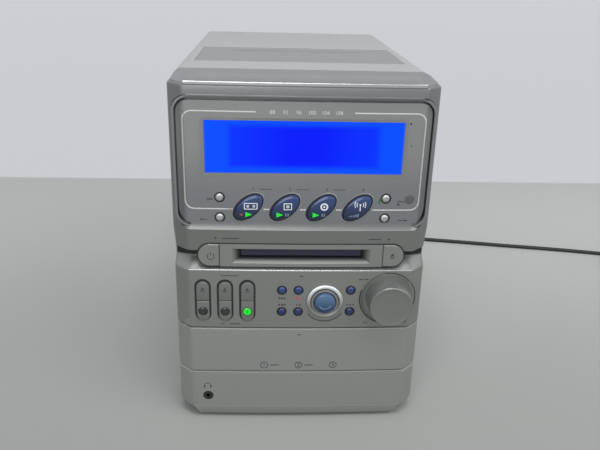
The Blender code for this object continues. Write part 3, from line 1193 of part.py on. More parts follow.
def inner_parts():
    low = floor_z + STANDOFF_HEIGHT + CLEAR
    half = MAIN_BOARD_WIDTH / 2
    board = box(-half, half, behind(MAIN_BOARD_FRONT), behind(MAIN_BOARD_FRONT + MAIN_BOARD_DEPTH), low, low + BOARD_THICK)
    sink = []
    for fin in range(6):
        x = SLIT_PITCH * fin
        sink.append(box(x, x + SHEET, behind(MAIN_BOARD_DEPTH), behind(MAIN_BOARD_DEPTH + FLANGE), low + EDGE, low + FLANGE * 1.5))
    spine = box(0, SLIT_PITCH * 5 + SHEET, behind(MAIN_BOARD_DEPTH) + EDGE, behind(MAIN_BOARD_DEPTH) + EDGE * 3, low + EDGE,
                low + FLANGE * 1.5)
    piece("main_board", board, "board", join=(spine, *sink), holder=cabinet)
    wide, deep, high = TRANSFORMER_SIZE
    x, y, z = TRANSFORMER_X, behind(TRANSFORMER_FRONT), floor_z + CLEAR
    core = box(x - wide / 2, x + wide / 2, y, y + deep, z, z + high)
    winding = prism(rounded(x - wide / 4, x + wide / 4, z + COIL_SWELL, z + high - COIL_SWELL, COIL_SWELL, 3),
                    y - COIL_SWELL, y + deep + COIL_SWELL)
    piece("power_transformer", core, "steel", join=(winding,), holder=cabinet)


# Mains cord: bushing, free stretch, coil and plug

rear_face = behind(REAR_PANEL_DEPTH + SHEET)
ROUTE = (
    (0.0600, 0.1965, 0.0239), (0.0605, 0.2045, 0.0225), (0.0640, 0.2135, 0.0180), (0.0715, 0.2215, 0.0118),
    (0.0840, 0.2272, 0.0062), (0.1020, 0.2288, 0.0032), (0.1220, 0.2262, 0.00235),
    (0.1430, 0.2212, 0.00225), (0.1660, 0.2160, 0.00225), (0.1879, 0.2112, 0.00225), (0.2100, 0.2072, 0.00225),
    (0.2320, 0.2030, 0.00225), (0.2520, 0.1990, 0.00225), (0.2720, 0.1950, 0.00225), (0.3000, 0.1897, 0.00225),
    (0.3300, 0.1842, 0.00225), (0.3580, 0.1785, 0.00225), (0.3800, 0.1736, 0.00225), (0.4020, 0.1686, 0.00225),
)
COIL_CENTRE = (0.4320, 0.1235)
COIL_START = math.radians(77.3)


def smooth(points, steps):
    """Points along a Catmull-Rom curve through the given ones."""
    found = [Vector(point) for point in points]
    padded = [found[0] * 2 - found[1], *found, found[-1] * 2 - found[-2]]
    line = []
    for a, b, c, d in zip(padded, padded[1:], padded[2:], padded[3:]):
        for step in range(steps):
            t = step / steps
            line.append(((b * 2) + (c - a) * t + (a * 2 - b * 5 + c * 4 - d) * t * t
                         + (b * 3 - a - c * 3 + d) * t * t * t) / 2)
    line.append(found[-1])
    return line


def coil_line():
    """The coil's loops: in on the table over the turns, up a layer while it turns back, and out again."""
    line = []
    total = COIL_TURNS * COIL_STEPS
    rise = COIL_PITCH
    for step in range(2 * total + 1):
        turns = step / COIL_STEPS
        inward = min(turns, 2 * COIL_TURNS - turns)
        radius = COIL_INNER + COIL_PITCH * (COIL_TURNS - inward)
        climb = min(max((turns - COIL_TURNS) * 2 + 0.5, 0.0), 1.0)
        level = CORD_RADIUS + rise * climb
        angle = COIL_START - 2 * math.pi * turns
        line.append(Vector((COIL_CENTRE[0] + radius * math.cos(angle), COIL_CENTRE[1] + radius * math.sin(angle), level)))
    return line


def tube(name, line, resolution):
    curve = bpy.data.curves.new(name, "CURVE")
    curve.dimensions = "3D"
    curve.bevel_depth = CORD_RADIUS
    curve.bevel_resolution = resolution
    curve.use_fill_caps = True
    run = curve.splines.new("POLY")
    run.points.add(len(line) - 1)
    for spot, point in zip(run.points, line):
        spot.co = (*point, 1)
    made = bpy.data.objects.new(name, curve)
    made.data.materials.append(finish("rubber"))
    bpy.context.collection.objects.link(made)
    made.parent = cabinet
    return made


def least_gap(line):
    """The least gap of a tube to itself, between stretches more than half a turn apart."""
    least = 1.0
    for here, one in enumerate(line):
        for other in line[here + COIL_STEPS // 2:]:
            least = min(least, (one - other).length)
    return least - 2 * CORD_RADIUS


def cord():
    flange = BUSHING_FLANGE
    profile = ((0, rear_face - WALL), (BUSHING_RADIUS, rear_face - WALL), (BUSHING_RADIUS, rear_face + CLEAR),
               (flange, rear_face + CLEAR), (flange, rear_face + WALL), (BUSHING_RADIUS, rear_face + WALL + EDGE),
               (BUSHING_TIP, rear_face + BUSHING_LENGTH), (0, rear_face + BUSHING_LENGTH))
    piece("cord_bushing", drum(profile, CORD_EXIT_X, CORD_EXIT_Z, "Y", KEY_SIDES), "rubber", holder=cabinet)
    loops = coil_line()
    entry = (loops[0] - loops[1]).normalized()
    lead = 4 * CORD_RADIUS
    exit_way = (loops[-1] - loops[-2]).normalized()
    outrun = PLUG_WIDTH * 1.5
    coil = [loops[0] + entry * lead, loops[0] + entry * lead / 2, *loops, loops[-1] + exit_way * lead,
            loops[-1] + exit_way * outrun]
    outlet = (CORD_EXIT_X, rear_face + BUSHING_LENGTH + CLEAR, CORD_EXIT_Z)
    stretch = [Vector(outlet), *smooth((*ROUTE, tuple(coil[0] + entry * lead)), 3), coil[0] + entry * CLEAR]
    tube("mains_cord", stretch, 2)
    tube("mains_cord_coil", coil, 1)
    length = sum((b - a).length for line in (stretch, coil) for a, b in zip(line, line[1:]))
    print(f"cord: {length + BUSHING_LENGTH:.3f} m from the panel, least gap in the coil {least_gap(loops) * 1000:.2f} mm")
    plug(coil[-1] + exit_way * CLEAR, exit_way)


def plug(start, way):
    """A two-blade plug along its cord's last run."""
    way = Vector((way.x, way.y, 0)).normalized()
    across = Vector((-way.y, way.x, 0))
    level = start.z

    def ring(along, half, low, high):
        spot = start + way * along
        corners = rounded(-half, half, low, high, (high - low) * 0.3, 2)
        return [spot + across * u + Vector((0, 0, v)) for u, v in corners]

    neck, wide, thick = PLUG_NECK, PLUG_WIDTH / 2, PLUG_HEIGHT / 2
    end = PLUG_NECK_LENGTH + PLUG_LENGTH
    body = loft([ring(0, neck, -neck, neck), ring(PLUG_NECK_LENGTH, neck + EDGE, -neck, neck),
                 ring(PLUG_NECK_LENGTH + WALL, wide - WALL, -thick + EDGE, thick - EDGE),
                 ring(PLUG_NECK_LENGTH + WALL * 3, wide, -thick, thick), ring(end - WALL, wide, -thick, thick),
                 ring(end, wide - WALL, -thick + EDGE, thick - EDGE)])
    blades = []
    for side in (-1, 1):
        middle = start + way * (end - EDGE) + across * side * BLADE_SPACING / 2
        far = middle + way * (BLADE_LENGTH + EDGE)
        rings = []
        for spot in (middle, far):
            rings.append([spot + across * u + Vector((0, 0, v)) for u, v in
                          rectangle(-BLADE_THICK / 2, BLADE_THICK / 2, -BLADE_WIDTH / 2, BLADE_WIDTH / 2)])
        blades.append(loft(rings))
    made = piece("mains_plug", body, "rubber", join=blades, holder=cabinet)
    print(f"plug axis {level * 1000:.2f} mm over the table")
    return made


def build():
    chassis()
    feet()
    base_front()
    control_front()
    control_keys()
    dial_and_knob()
    housing()
    fascia()
    source_keys()
    slot_strip()
    cartridge_deck()
    loader()
    drawer()
    disc_motor_and_pickup()
    top_cover()
    tape_deck()
    lid()
    tape_hubs()
    rear()
    inner_parts()
    cord()


build()
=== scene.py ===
# %% [markdown]
# # A mini hi-fi centre unit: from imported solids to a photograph
#
# The solids of this unit come ready made, at their real size and in their real places. This lesson gives
# them their looks: the light and the camera, the finishes, the printed marks, and the small pieces that a
# plain solid leaves out, such as lenses, ribs, screws and the mains cord.
#
# Every cell is one step. A cell like this one says what the step makes and why it is made that way, and
# the code cell under it does the work and prints what it made.

# %% Load the solids
import math

import bmesh
import bpy
from mathutils import Matrix, Vector


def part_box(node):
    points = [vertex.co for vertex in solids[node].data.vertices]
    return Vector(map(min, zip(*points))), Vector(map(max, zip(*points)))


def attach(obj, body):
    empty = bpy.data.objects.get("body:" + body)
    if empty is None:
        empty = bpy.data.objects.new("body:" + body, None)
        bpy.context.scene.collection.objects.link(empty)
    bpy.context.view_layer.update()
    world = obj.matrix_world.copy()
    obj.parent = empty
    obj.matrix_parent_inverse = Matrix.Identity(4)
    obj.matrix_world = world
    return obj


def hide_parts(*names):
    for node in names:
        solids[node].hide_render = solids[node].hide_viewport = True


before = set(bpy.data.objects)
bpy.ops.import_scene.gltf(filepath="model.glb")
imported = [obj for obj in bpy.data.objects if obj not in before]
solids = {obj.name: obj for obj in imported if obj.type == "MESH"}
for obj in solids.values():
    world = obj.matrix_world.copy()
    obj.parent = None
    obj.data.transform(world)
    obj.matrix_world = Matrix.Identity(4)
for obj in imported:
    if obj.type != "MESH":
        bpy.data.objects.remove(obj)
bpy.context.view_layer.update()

# %% [markdown]
# ## The camera
#
# The photograph was taken from a little above the unit, almost straight on, by a camera that was held
# slightly askew. A camera in Blender looks down its own -Z axis, so its turn is written as three angles:
# how far it looks to the right, how far down, and how far it leans. They are applied one after the other,
# which is easier to follow than one set of combined angles.

# %% Camera
CAMERA_PLACE = Vector((-0.0250, -0.5851, 0.3368))
LOOK_RIGHT = math.radians(3.08)
LOOK_DOWN = math.radians(21.57)
LEAN = math.radians(1.55)
LENS = 39.53

camera = bpy.data.objects.new("camera", bpy.data.cameras.new("camera"))
bpy.context.collection.objects.link(camera)
upright = math.radians(90)
turn = Matrix.Rotation(-LOOK_RIGHT, 4, "Z") @ Matrix.Rotation(upright - LOOK_DOWN, 4, "X")
camera.matrix_world = Matrix.Translation(CAMERA_PLACE) @ turn @ Matrix.Rotation(LEAN, 4, "Z")
camera.data.lens = LENS
camera.data.clip_start = 0.01
bpy.context.scene.camera = camera
print("camera at", tuple(camera.location), "with a", LENS, "mm lens")

# %% [markdown]
# ## Shader sums written as Python
#
# A finish is a small calculation: some noise, a mask, a mix of two tones. In the shader editor that is a
# web of Math nodes. Here one class holds a socket and overloads the sums, so that `1 - mask * 0.2` builds
# those nodes by itself. Any other node comes from one method that takes its type, its settings and what
# goes into its sockets. Colours are mixed with a Mix node, because a Math node would turn them grey.

# %% A socket that can be calculated with


class Value:
    """One output of a shader node. Sums on it add the nodes that work them out."""

    def __init__(self, paint, socket):
        self.paint = paint
        self.socket = socket

    def __add__(self, other):
        return self.paint.maths("ADD", self, other)

    def __sub__(self, other):
        return self.paint.maths("SUBTRACT", self, other)

    def __mul__(self, other):
        return self.paint.maths("MULTIPLY", self, other)

    def __truediv__(self, other):
        return self.paint.maths("DIVIDE", self, other)

    def __gt__(self, other):
        return self.paint.maths("GREATER_THAN", self, other)

    def __lt__(self, other):
        return self.paint.maths("LESS_THAN", self, other)

    def __rsub__(self, other):
        return self.paint.maths("SUBTRACT", other, self)

    def __abs__(self):
        return self.paint.maths("ABSOLUTE", self)

    __radd__ = __add__
    __rmul__ = __mul__


# %% [markdown]
# ## A finish with a few tools of its own
#
# Every finish below starts as the same shader with fixed numbers for roughness, metal and coat. Its
# patterns read the place on the object in metres, so noise at a scale of 1000 has grains about a
# millimetre wide, whatever piece it lies on. That keeps a flake in the paint as small on a knob as on the
# case.

# %% The finish class


def tone(red, green, blue):
    """A colour as a screen shows it, from 0 to 255, turned into the linear light that shaders use."""
    shares = [level / 255 for level in (red, green, blue)]
    return (*[s / 12.92 if s <= 0.04045 else ((s + 0.055) / 1.055) ** 2.4 for s in shares], 1.0)


class Finish:
    """A material with a Principled shader, and short ways to feed it."""

    def __init__(self, name, colour, rough=0.4, metal=0.0, coat=0.0, **more):
        self.material = bpy.data.materials.new(name)
        self.material.use_nodes = True
        self.tree = self.material.node_tree
        self.shader = self.tree.nodes["Principled BSDF"]
        fixed = {"Base Color": colour, "Roughness": rough, "Metallic": metal, "Coat Weight": coat, **more}
        for socket, value in fixed.items():
            self.shader.inputs[socket].default_value = value
        self.spot = self.node("TexCoord", output="Object")

    def node(self, kind, settings=(), sockets=(), output=0):
        """Adds a node of a kind. Its settings come first, then a number or a Value for each socket."""
        made = self.tree.nodes.new("ShaderNode" + kind)
        for name, value in dict(settings).items():
            setattr(made, name, value)
        for name, value in dict(sockets).items():
            self.feed(name, value, made)
        return Value(self, made.outputs[output])

    def feed(self, socket, value, node=None):
        """Puts a number, a colour or a Value into a socket, of the shader unless another node is named."""
        entry = (node or self.shader).inputs[socket]
        if isinstance(value, Value):
            self.tree.links.new(value.socket, entry)
        else:
            entry.default_value = value

    def maths(self, operation, *numbers):
        return self.node("Math", {"operation": operation}, dict(enumerate(numbers)))

    def mix(self, share, one, other):
        return self.node("Mix", {"data_type": "RGBA"}, {0: share, 6: one, 7: other}, output=2)

    def noise(self, scale, detail=2.0, stretch=None):
        place = self.spot
        if stretch:
            place = self.node("Mapping", {}, {"Vector": place, "Scale": stretch})
        return self.node("TexNoise", {}, {"Vector": place, "Scale": scale, "Detail": detail})

    def axes(self):
        """The place on the object as three separate Values, in metres."""
        split = self.node("SeparateXYZ", {}, {"Vector": self.spot})
        return [Value(self, output) for output in split.socket.node.outputs]

    def fade(self, value, start, end):
        """0 before start and 1 after end, with a soft change between them."""
        settings = {"interpolation_type": "SMOOTHSTEP"}
        return self.node("MapRange", settings, {"Value": value, "From Min": start, "From Max": end})

    def bump(self, height, depth, strength=1.0):
        raised = self.node("Bump", {}, {"Strength": strength, "Distance": depth, "Height": height})
        self.feed("Normal", raised)


print("finishes read their place in metres; mid grey is", round(tone(128, 128, 128)[0], 3))

# %% [markdown]
# ## The studio
#
# The floor is one large sheet. Near the unit it is a table top, a little darker towards the viewer. Past
# the table's far edge it stands in for the wall, with a glow of its own, so that it stays even as far as
# the camera sees. The light is soft: a wide lamp over the unit's right shoulder, one from the front left,
# a small one near the ceiling, and an even sky for the rest. They are set so that a colour shows about as
# it is written. The camera and glossy surfaces see the sky in the tone of a pale wall.

# %% Floor, lamps and sky
FLOOR_SIZE = 60.0
TABLE_EDGE, EDGE_BLUR = 0.470, 0.004
TABLE_NEAR, TABLE_FAR = -0.27, 0.35

bpy.ops.object.select_all(action="DESELECT")
bpy.ops.mesh.primitive_plane_add(size=FLOOR_SIZE)
floor = bpy.context.object
floor.name = "floor"
ground = Finish("pale_floor", tone(190, 192, 188), rough=0.7)
away = ground.axes()[1]
distance = ground.fade(away - ground.noise(6, detail=3) * 0.03, TABLE_NEAR, TABLE_FAR)
table_tone = ground.mix(distance, tone(157, 159, 155), tone(200, 202, 198))
wall_tone = ground.mix(ground.noise(70, detail=4), tone(66, 67, 68), tone(72, 73, 74))
beyond = ground.fade(away, TABLE_EDGE - EDGE_BLUR, TABLE_EDGE + EDGE_BLUR)
ground.feed("Base Color", ground.mix(beyond, table_tone, wall_tone))
ground.feed("Emission Color", ground.mix(beyond, (0, 0, 0, 1), tone(186, 188, 192)))
ground.shader.inputs["Emission Strength"].default_value = 1.0
floor.data.materials.append(ground.material)


def lamp(name, place, aim_height, size, power):
    """A square area lamp that faces a point over the middle of the table."""
    made = bpy.data.objects.new(name, bpy.data.lights.new(name, "AREA"))
    bpy.context.collection.objects.link(made)
    made.data.shape, made.data.size, made.data.energy = "SQUARE", size, power
    made.location = place
    made.rotation_euler = (Vector((0, 0, aim_height)) - Vector(place)).to_track_quat("-Z", "Y").to_euler()


lamp("key_lamp", (0.95, -0.85, 1.05), 0.12, 1.0, 7.5)
lamp("fill_lamp", (-0.4, -1.5, 0.8), 0.12, 1.0, 7.0)
lamp("ceiling_lamp", (0.0, -0.60, 1.30), 0.15, 0.5, 5.5)

sky = bpy.data.worlds.new("even_sky")
bpy.context.scene.world = sky
sky.use_nodes = True
nodes, links = sky.node_tree.nodes, sky.node_tree.links
light_part = nodes["Background"]
light_part.inputs["Color"].default_value = (0.92, 0.95, 1.0, 1)
light_part.inputs["Strength"].default_value = 0.50
seen_part, ray, blend = [nodes.new("ShaderNode" + kind) for kind in ("Background", "LightPath", "MixShader")]
seen_part.inputs["Color"].default_value = tone(226, 228, 230)
seen = ray.outputs["Is Camera Ray"]
for kind in ("Is Glossy Ray", "Is Transmission Ray"):
    either = nodes.new("ShaderNodeMath")
    either.operation = "MAXIMUM"
    links.new(seen, either.inputs[0])
    links.new(ray.outputs[kind], either.inputs[1])
    seen = either.outputs[0]
for number, output in enumerate((seen, light_part.outputs[0], seen_part.outputs[0])):
    links.new(output, blend.inputs[number])
links.new(blend.outputs[0], nodes["World Output"].inputs["Surface"])
bpy.context.scene.view_settings.view_transform = "Standard"
print("studio: a floor", FLOOR_SIZE, "m wide, three lamps and an even sky")

# %% [markdown]
# ## The case finishes
#
# The mouldings are sprayed with silver lacquer: a grey coat full of fine metal flakes under a thin clear
# film. Two sizes of noise make it: one grain for the flakes, which changes tone and gloss a little, and a
# wide cloud for the uneven spray and for handling marks. Some mouldings have light or shade painted into
# their colour along one axis: painted shade under the housing's overhang, on the lower housing and fascia
# and deep in the strip's mouth, and a painted highlight on the top of the dial collar. The sheet cover has
# a paler, slightly sandy coat.

# %% Silver lacquer and cover coat


def silver(name, light, dark, warm, metal=0.55, shade=None):
    """Silver lacquer. A shade is painted light: a tone, an axis, and where along it the tone starts and is
    full.
    """
    paint = Finish(name, light, rough=0.38, metal=metal)
    flakes = paint.noise(2600, detail=1)
    cloud = paint.noise(24, detail=3)
    rub = paint.noise(90, detail=2, stretch=(1, 1, 5))
    colour = paint.mix(cloud * 0.35, paint.mix(flakes, dark, light), warm)
    if shade:
        deep, axis, start, full = shade
        colour = paint.mix(paint.fade(paint.axes()[axis], start, full), colour, deep)
    paint.feed("Base Color", colour)
    paint.feed("Roughness", 0.27 + cloud * 0.08 + rub * 0.07 + flakes * 0.04)
    paint.bump(flakes + paint.noise(500) * 0.6, 0.00002, 0.35)
    return paint.material


def cover_coat(name, light, dark, worn):
    paint = Finish(name, light, rough=0.45, metal=0.25)
    sand = paint.noise(1500, detail=2)
    cloud = paint.noise(14, detail=3)
    scuff = paint.noise(60, detail=4, stretch=(6, 1, 1))
    body = paint.mix(sand, dark, light)
    paint.feed("Base Color", paint.mix(paint.fade(scuff, 0.62, 0.75) * 0.4, body, worn))
    paint.feed("Roughness", 0.38 + sand * 0.14 + cloud * 0.08)
    paint.bump(sand, 0.00003, 0.5)
    return paint.material


def tones(*colours):
    return [tone(*colour) for colour in colours]


UP, BACKWARD = 2, 1
PANEL = tones((147, 148, 146), (133, 135, 133), (144, 143, 137))
CONTROL = tones((144, 145, 143), (130, 132, 130), (141, 140, 134))
FASCIA = tones((156, 157, 157), (142, 144, 144), (153, 152, 148))
HOUSING = tones((137, 138, 141), (124, 126, 129), (134, 133, 131))
CHROME = tones((196, 198, 198), (182, 184, 184), (188, 187, 182))
panel_silver = silver("panel_silver", *PANEL)
knob_silver = silver("knob_silver", *tones((136, 137, 135), (122, 124, 122), (132, 131, 126)))
column_silver = silver("column_silver", *tones((132, 133, 131), (119, 121, 119), (130, 129, 124)))
drawer_silver = silver("drawer_silver", *tones((161, 163, 160), (147, 150, 147), (157, 156, 151)))
key_chrome = silver("key_chrome", *CHROME, metal=0.75)
# Painted shade: the control panel darkens above the waist, under the housing's overhang.
control_silver = silver("control_silver", *CONTROL, shade=(tone(44, 47, 46), UP, 0.1368, 0.1384))
# Painted shade: the housing is a little darker on its lower part.
housing_silver = silver("housing_silver", *HOUSING, shade=(tone(128, 129, 127), UP, 0.166, 0.160))
# Painted shade: the fascia turns darker towards its bottom.
fascia_silver = silver("fascia_silver", *FASCIA, shade=(tone(133, 135, 138), UP, 0.225, 0.182))
# Painted shade: the strip turns dark deep in its mouth.
strip_silver = silver("strip_silver", *PANEL, shade=(tone(36, 39, 44), BACKWARD, -0.1525, -0.1476))
# Painted highlight: the collar turns pale towards its top.
collar_silver = silver("collar_silver", *PANEL, shade=(tone(236, 238, 240), UP, 0.100, 0.116))
cover_paint = cover_coat("cover_coat", *tones((182, 185, 184), (162, 165, 164), (148, 150, 148)))
lid_paint = cover_coat("lid_coat", *tones((150, 152, 152), (134, 136, 136), (122, 124, 122)))
print("case finishes:", panel_silver.name, key_chrome.name, cover_paint.name)

# %% [markdown]
# ## Plastics, rubber, metals and boards
#
# The other finishes follow the same plan: a base tone, one fine pattern that belongs to the material, and
# a little unevenness in the gloss. Black plastic has a spark-eroded grain, rubber is dull and dusty,
# plated steel shows long drawn lines, and a circuit board has tracks under its green film.

# %% Plastics and rubber


def moulded(name, colour, rough, grain=1200, depth=0.00003, coat=0.0):
    """A moulded plastic with an even grain."""
    paint = Finish(name, colour, rough=rough, coat=coat)
    pits = paint.noise(grain, detail=2)
    cloud = paint.noise(40, detail=3)
    deeper = tuple(part * 0.72 for part in colour[:3]) + (1.0,)
    paint.feed("Base Color", paint.mix(cloud, deeper, colour))
    paint.feed("Roughness", rough - 0.06 + pits * 0.08 + cloud * 0.06)
    paint.bump(pits, depth, 0.4)
    return paint.material


def gloss_tint(name, deep, pale, low, high):
    """Tinted plastic under a deep gloss, with painted light that makes it paler towards its top."""
    paint = Finish(name, deep, rough=0.16, coat=0.4, **{"Coat Roughness": 0.04})
    smear = paint.noise(160, detail=3)
    rise = paint.fade(paint.axes()[2] + smear * 0.003, low, high)
    paint.feed("Base Color", paint.mix(rise, deep, pale))
    paint.feed("Roughness", 0.12 + smear * 0.10)
    paint.bump(paint.noise(700), 0.000008, 0.2)
    return paint.material


def ribbed(name, start, direction, ribs, metal_from=None):
    """Cord rubber with ribs across a direction. Past a distance the piece is bare metal, for plug blades."""
    paint = Finish(name, tone(30, 31, 31), rough=0.5)
    offset = paint.node("VectorMath", {"operation": "SUBTRACT"}, {0: paint.spot, 1: start})
    along = paint.node("VectorMath", {"operation": "DOT_PRODUCT"}, {0: offset, 1: direction}, output="Value")
    dust = paint.noise(260, detail=3)
    colour = paint.mix(dust, tone(24, 25, 25), tone(40, 40, 40))
    on_ribs = along > ribs[0]
    on_ribs = on_ribs * (along < ribs[1])
    wave = paint.maths("SINE", along * (2 * math.pi / 0.0022))
    if metal_from is not None:
        blades = along > metal_from
        colour = paint.mix(blades, colour, tone(206, 204, 196))
        paint.feed("Metallic", blades)
        paint.feed("Roughness", 0.54 - blades * 0.28 + dust * 0.06)
    else:
        paint.feed("Roughness", 0.48 + dust * 0.08)
    paint.feed("Base Color", colour)
    paint.bump(wave * on_ribs + dust * 0.1, 0.0006, 0.8)
    return paint.material


black_plastic = moulded("black_plastic", tone(34, 34, 35), 0.52)
white_plastic = moulded("white_plastic", tone(214, 212, 202), 0.42, grain=900)
red_plastic = moulded("red_plastic", tone(176, 30, 28), 0.40)
foot_rubber = moulded("foot_rubber", tone(30, 30, 30), 0.82, grain=600, depth=0.00008)
cord_rubber = moulded("cord_rubber", tone(30, 31, 31), 0.50, grain=1500, depth=0.00002)
shutter_blue = moulded("shutter_blue", tone(30, 40, 66), 0.30, coat=0.4)
# Painted light: the large keys, the function keys and the dial's dome are paler towards their top.
navy = gloss_tint("gloss_navy", tone(8, 26, 54), tone(46, 66, 112), 0.169, 0.189)
key_navy = gloss_tint("key_navy", tone(24, 40, 84), tone(40, 62, 112), 0.090, 0.120)
dome_blue = gloss_tint("dome_blue", tone(26, 50, 84), tone(76, 104, 138), 0.098, 0.112)
print("plastics:", black_plastic.name, navy.name, cord_rubber.name)

# %% Metals and boards


def drawn_metal(name, colour, rough, stretch=(1, 1, 30), depth=0.00001):
    """Metal with fine lines along one direction, as rolling or turning leaves."""
    paint = Finish(name, colour, rough=rough, metal=1.0)
    lines = paint.noise(300, detail=4, stretch=stretch)
    cloud = paint.noise(30, detail=3)
    deeper = tuple(part * 0.8 for part in colour[:3]) + (1.0,)
    paint.feed("Base Color", paint.mix(cloud, deeper, colour))
    paint.feed("Roughness", rough - 0.05 + lines * 0.14)
    paint.bump(lines, depth, 0.3)
    return paint.material


def circuit_board():
    """Green film over copper tracks, which run in two directions."""
    paint = Finish("circuit_board", tone(38, 82, 48), rough=0.35, coat=0.5)
    along = paint.noise(55, detail=0, stretch=(14, 1, 1))
    across = paint.noise(55, detail=0, stretch=(1, 14, 14))
    tracks = paint.maths("MAXIMUM", paint.fade(along, 0.56, 0.58), paint.fade(across, 0.60, 0.62))
    paint.feed("Base Color", paint.mix(tracks, tone(34, 76, 44), tone(66, 118, 62)))
    paint.feed("Roughness", 0.30 + tracks * 0.12)
    paint.bump(tracks, 0.00004, 0.6)
    return paint.material


plated_steel = drawn_metal("plated_steel", tone(196, 198, 200), 0.34, stretch=(1, 30, 1))
polished = drawn_metal("polished_metal", tone(226, 227, 228), 0.16, stretch=(1, 1, 1))
board = circuit_board()
# Near white: partly a real reflection of the lamps, partly a painted highlight on the bright edges.
polish_and_painted_highlight = drawn_metal("polish_and_painted_highlight", tone(246, 247, 249), 0.20, stretch=(1, 1, 1))
print("metals and boards:", plated_steel.name, polished.name, board.name)

# %% [markdown]
# ## Inks, lenses and the lit display
#
# The printed marks are inks: nearly flat, a little rougher than the lacquer, with a slight break in them
# where they have rubbed. Lit things give light of their own. The display's backlight is brightest near
# its ends, and the bare middle is a deeper blue, so its colour is worked out from the distance to the
# window's rim.

# %% Inks and lit finishes


def ink(name, colour, worn):
    paint = Finish(name, colour, rough=0.55)
    rub = paint.noise(900, detail=3)
    paint.feed("Base Color", paint.mix(paint.fade(rub, 0.45, 0.75) * 0.5, colour, worn))
    paint.feed("Roughness", 0.48 + rub * 0.12)
    return paint.material


def lit(name, colour, glow, strength):
    """A lamp behind tinted plastic, brighter where the plastic is thin."""
    paint = Finish(name, colour, rough=0.25, coat=0.8)
    cloud = paint.noise(500, detail=2)
    deeper = tuple(part * 0.75 for part in glow[:3]) + (1.0,)
    paint.feed("Emission Color", paint.mix(cloud, deeper, glow))
    paint.shader.inputs["Emission Strength"].default_value = strength
    return paint.material


def backlight():
    low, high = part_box("display_window")
    centre, half = (low + high) / 2, (high - low) / 2
    paint = Finish("backlight_blue", tone(0, 2, 20), rough=0.35, **{"Specular IOR Level": 0.12})
    x, _, z = paint.axes()
    side = abs(x - centre.x) / half.x
    rise = abs(z - centre.z) / half.z
    ends = paint.fade(side, 0.70, 0.80)
    rim = paint.fade(rise, 0.62, 0.88)
    outer = paint.maths("MAXIMUM", ends, rim)
    cloud = paint.noise(30, detail=2)
    inner = paint.mix(paint.fade(side, 0.1, 0.8) + cloud * 0.2, tone(0, 22, 250), tone(0, 48, 255))
    glow = paint.mix(outer, inner, tone(0, 78, 255))
    dim = paint.maths("MAXIMUM", paint.fade(side, 0.975, 1.0), paint.fade(rise, 0.93, 1.0))
    paint.feed("Emission Color", paint.mix(dim, glow, tone(60, 92, 214)))
    paint.shader.inputs["Emission Strength"].default_value = 1.0
    return paint.material


light_ink = ink("light_ink", tone(206, 210, 204), tone(176, 180, 176))
dark_ink = ink("dark_ink", tone(54, 56, 64), tone(84, 86, 90))
# Painted shade: dark shapes in the gaps round the keys and the knob's dish, and in the screws' cross
# recesses.
painted_gap_shade = ink("painted_gap_shade", tone(34, 34, 36), tone(48, 48, 50))
grey_ink = ink("grey_ink", tone(128, 140, 168), tone(104, 116, 146))
smile_ink = ink("smile_ink", tone(128, 156, 196), tone(108, 138, 180))
red_ink = ink("red_ink", tone(168, 84, 84), tone(150, 110, 108))
white_ink = ink("white_ink", tone(226, 230, 236), tone(190, 196, 206))
green_lit = lit("green_lit", tone(0, 60, 10), tone(10, 235, 40), 1.0)
green_dim = lit("green_dim", tone(10, 60, 14), tone(20, 120, 30), 0.6)
dark_lens = moulded("dark_lens", tone(26, 28, 30), 0.18, coat=1.0)
smoke_lens = moulded("smoke_lens", tone(88, 92, 90), 0.25, coat=0.8)
display_blue = backlight()
print("inks and lit finishes:", light_ink.name, dark_ink.name, green_lit.name, display_blue.name)

# %% [markdown]
# ## The solids that stay
#
# Most solids have the right shape already, so they only get small round edges and a finish. A moulded or
# folded edge is never a knife edge: it has a radius of some tenths of a millimetre, and the bright line
# along it is what makes a photograph of it look real. The solid's triangles are welded, flat faces are
# merged, every edge sharper than 30 degrees is bevelled, and the normals are weighted by area so that the
# wide faces stay flat. All of this is done by live modifiers, because a solid's own mesh is never changed.

# %% Round edges for the solids
EDGE_ANGLE = math.radians(30)
FLAT_ANGLE = math.radians(0.5)
WELD_GAP = 0.00001


def dress(material, width, *names):
    """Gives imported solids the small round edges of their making, and paints them."""
    for name in names:
        solid = solids[name]
        weld = solid.modifiers.new("weld", "WELD")
        weld.merge_threshold = WELD_GAP
        merge = solid.modifiers.new("merge flats", "DECIMATE")
        merge.decimate_type, merge.angle_limit = "DISSOLVE", FLAT_ANGLE
        edge = solid.modifiers.new("round edges", "BEVEL")
        edge.width, edge.segments = width, 2
        edge.limit_method, edge.angle_limit = "ANGLE", EDGE_ANGLE
        even = solid.modifiers.new("weighted normals", "WEIGHTED_NORMAL")
        even.weight = 80
        solid.material_slots[0].material = material
    print(material.name, "on", ", ".join(names))


MOULDED_EDGE, SHEET_EDGE, FINE_EDGE = 0.0008, 0.00035, 0.0002
dress(drawer_silver, MOULDED_EDGE, "drawer_front", "base_panel")
dress(housing_silver, MOULDED_EDGE, "display_housing")
dress(control_silver, MOULDED_EDGE, "control_panel")
dress(fascia_silver, FINE_EDGE, "display_fascia")
dress(panel_silver, FINE_EDGE, "standby_button", "cartridge_eject_button")
dress(strip_silver, FINE_EDGE, "slot_strip")
dress(cover_paint, SHEET_EDGE, "top_cover")
dress(lid_paint, SHEET_EDGE, "cassette_lid")
dress(plated_steel, SHEET_EDGE, "rear_panel", "chassis_base", "cartridge_deck", "power_transformer")
dress(black_plastic, SHEET_EDGE, "disc_loader_frame", "disc_drawer", "tape_deck_frame", "rear_sockets")
dress(black_plastic, FINE_EDGE, "turntable", "pickup", "headphone_jack")
dress(white_plastic, FINE_EDGE, "drawer_pinion", "supply_spindle", "take_up_spindle")
dress(board, FINE_EDGE, "main_board", "control_board", "display_board")
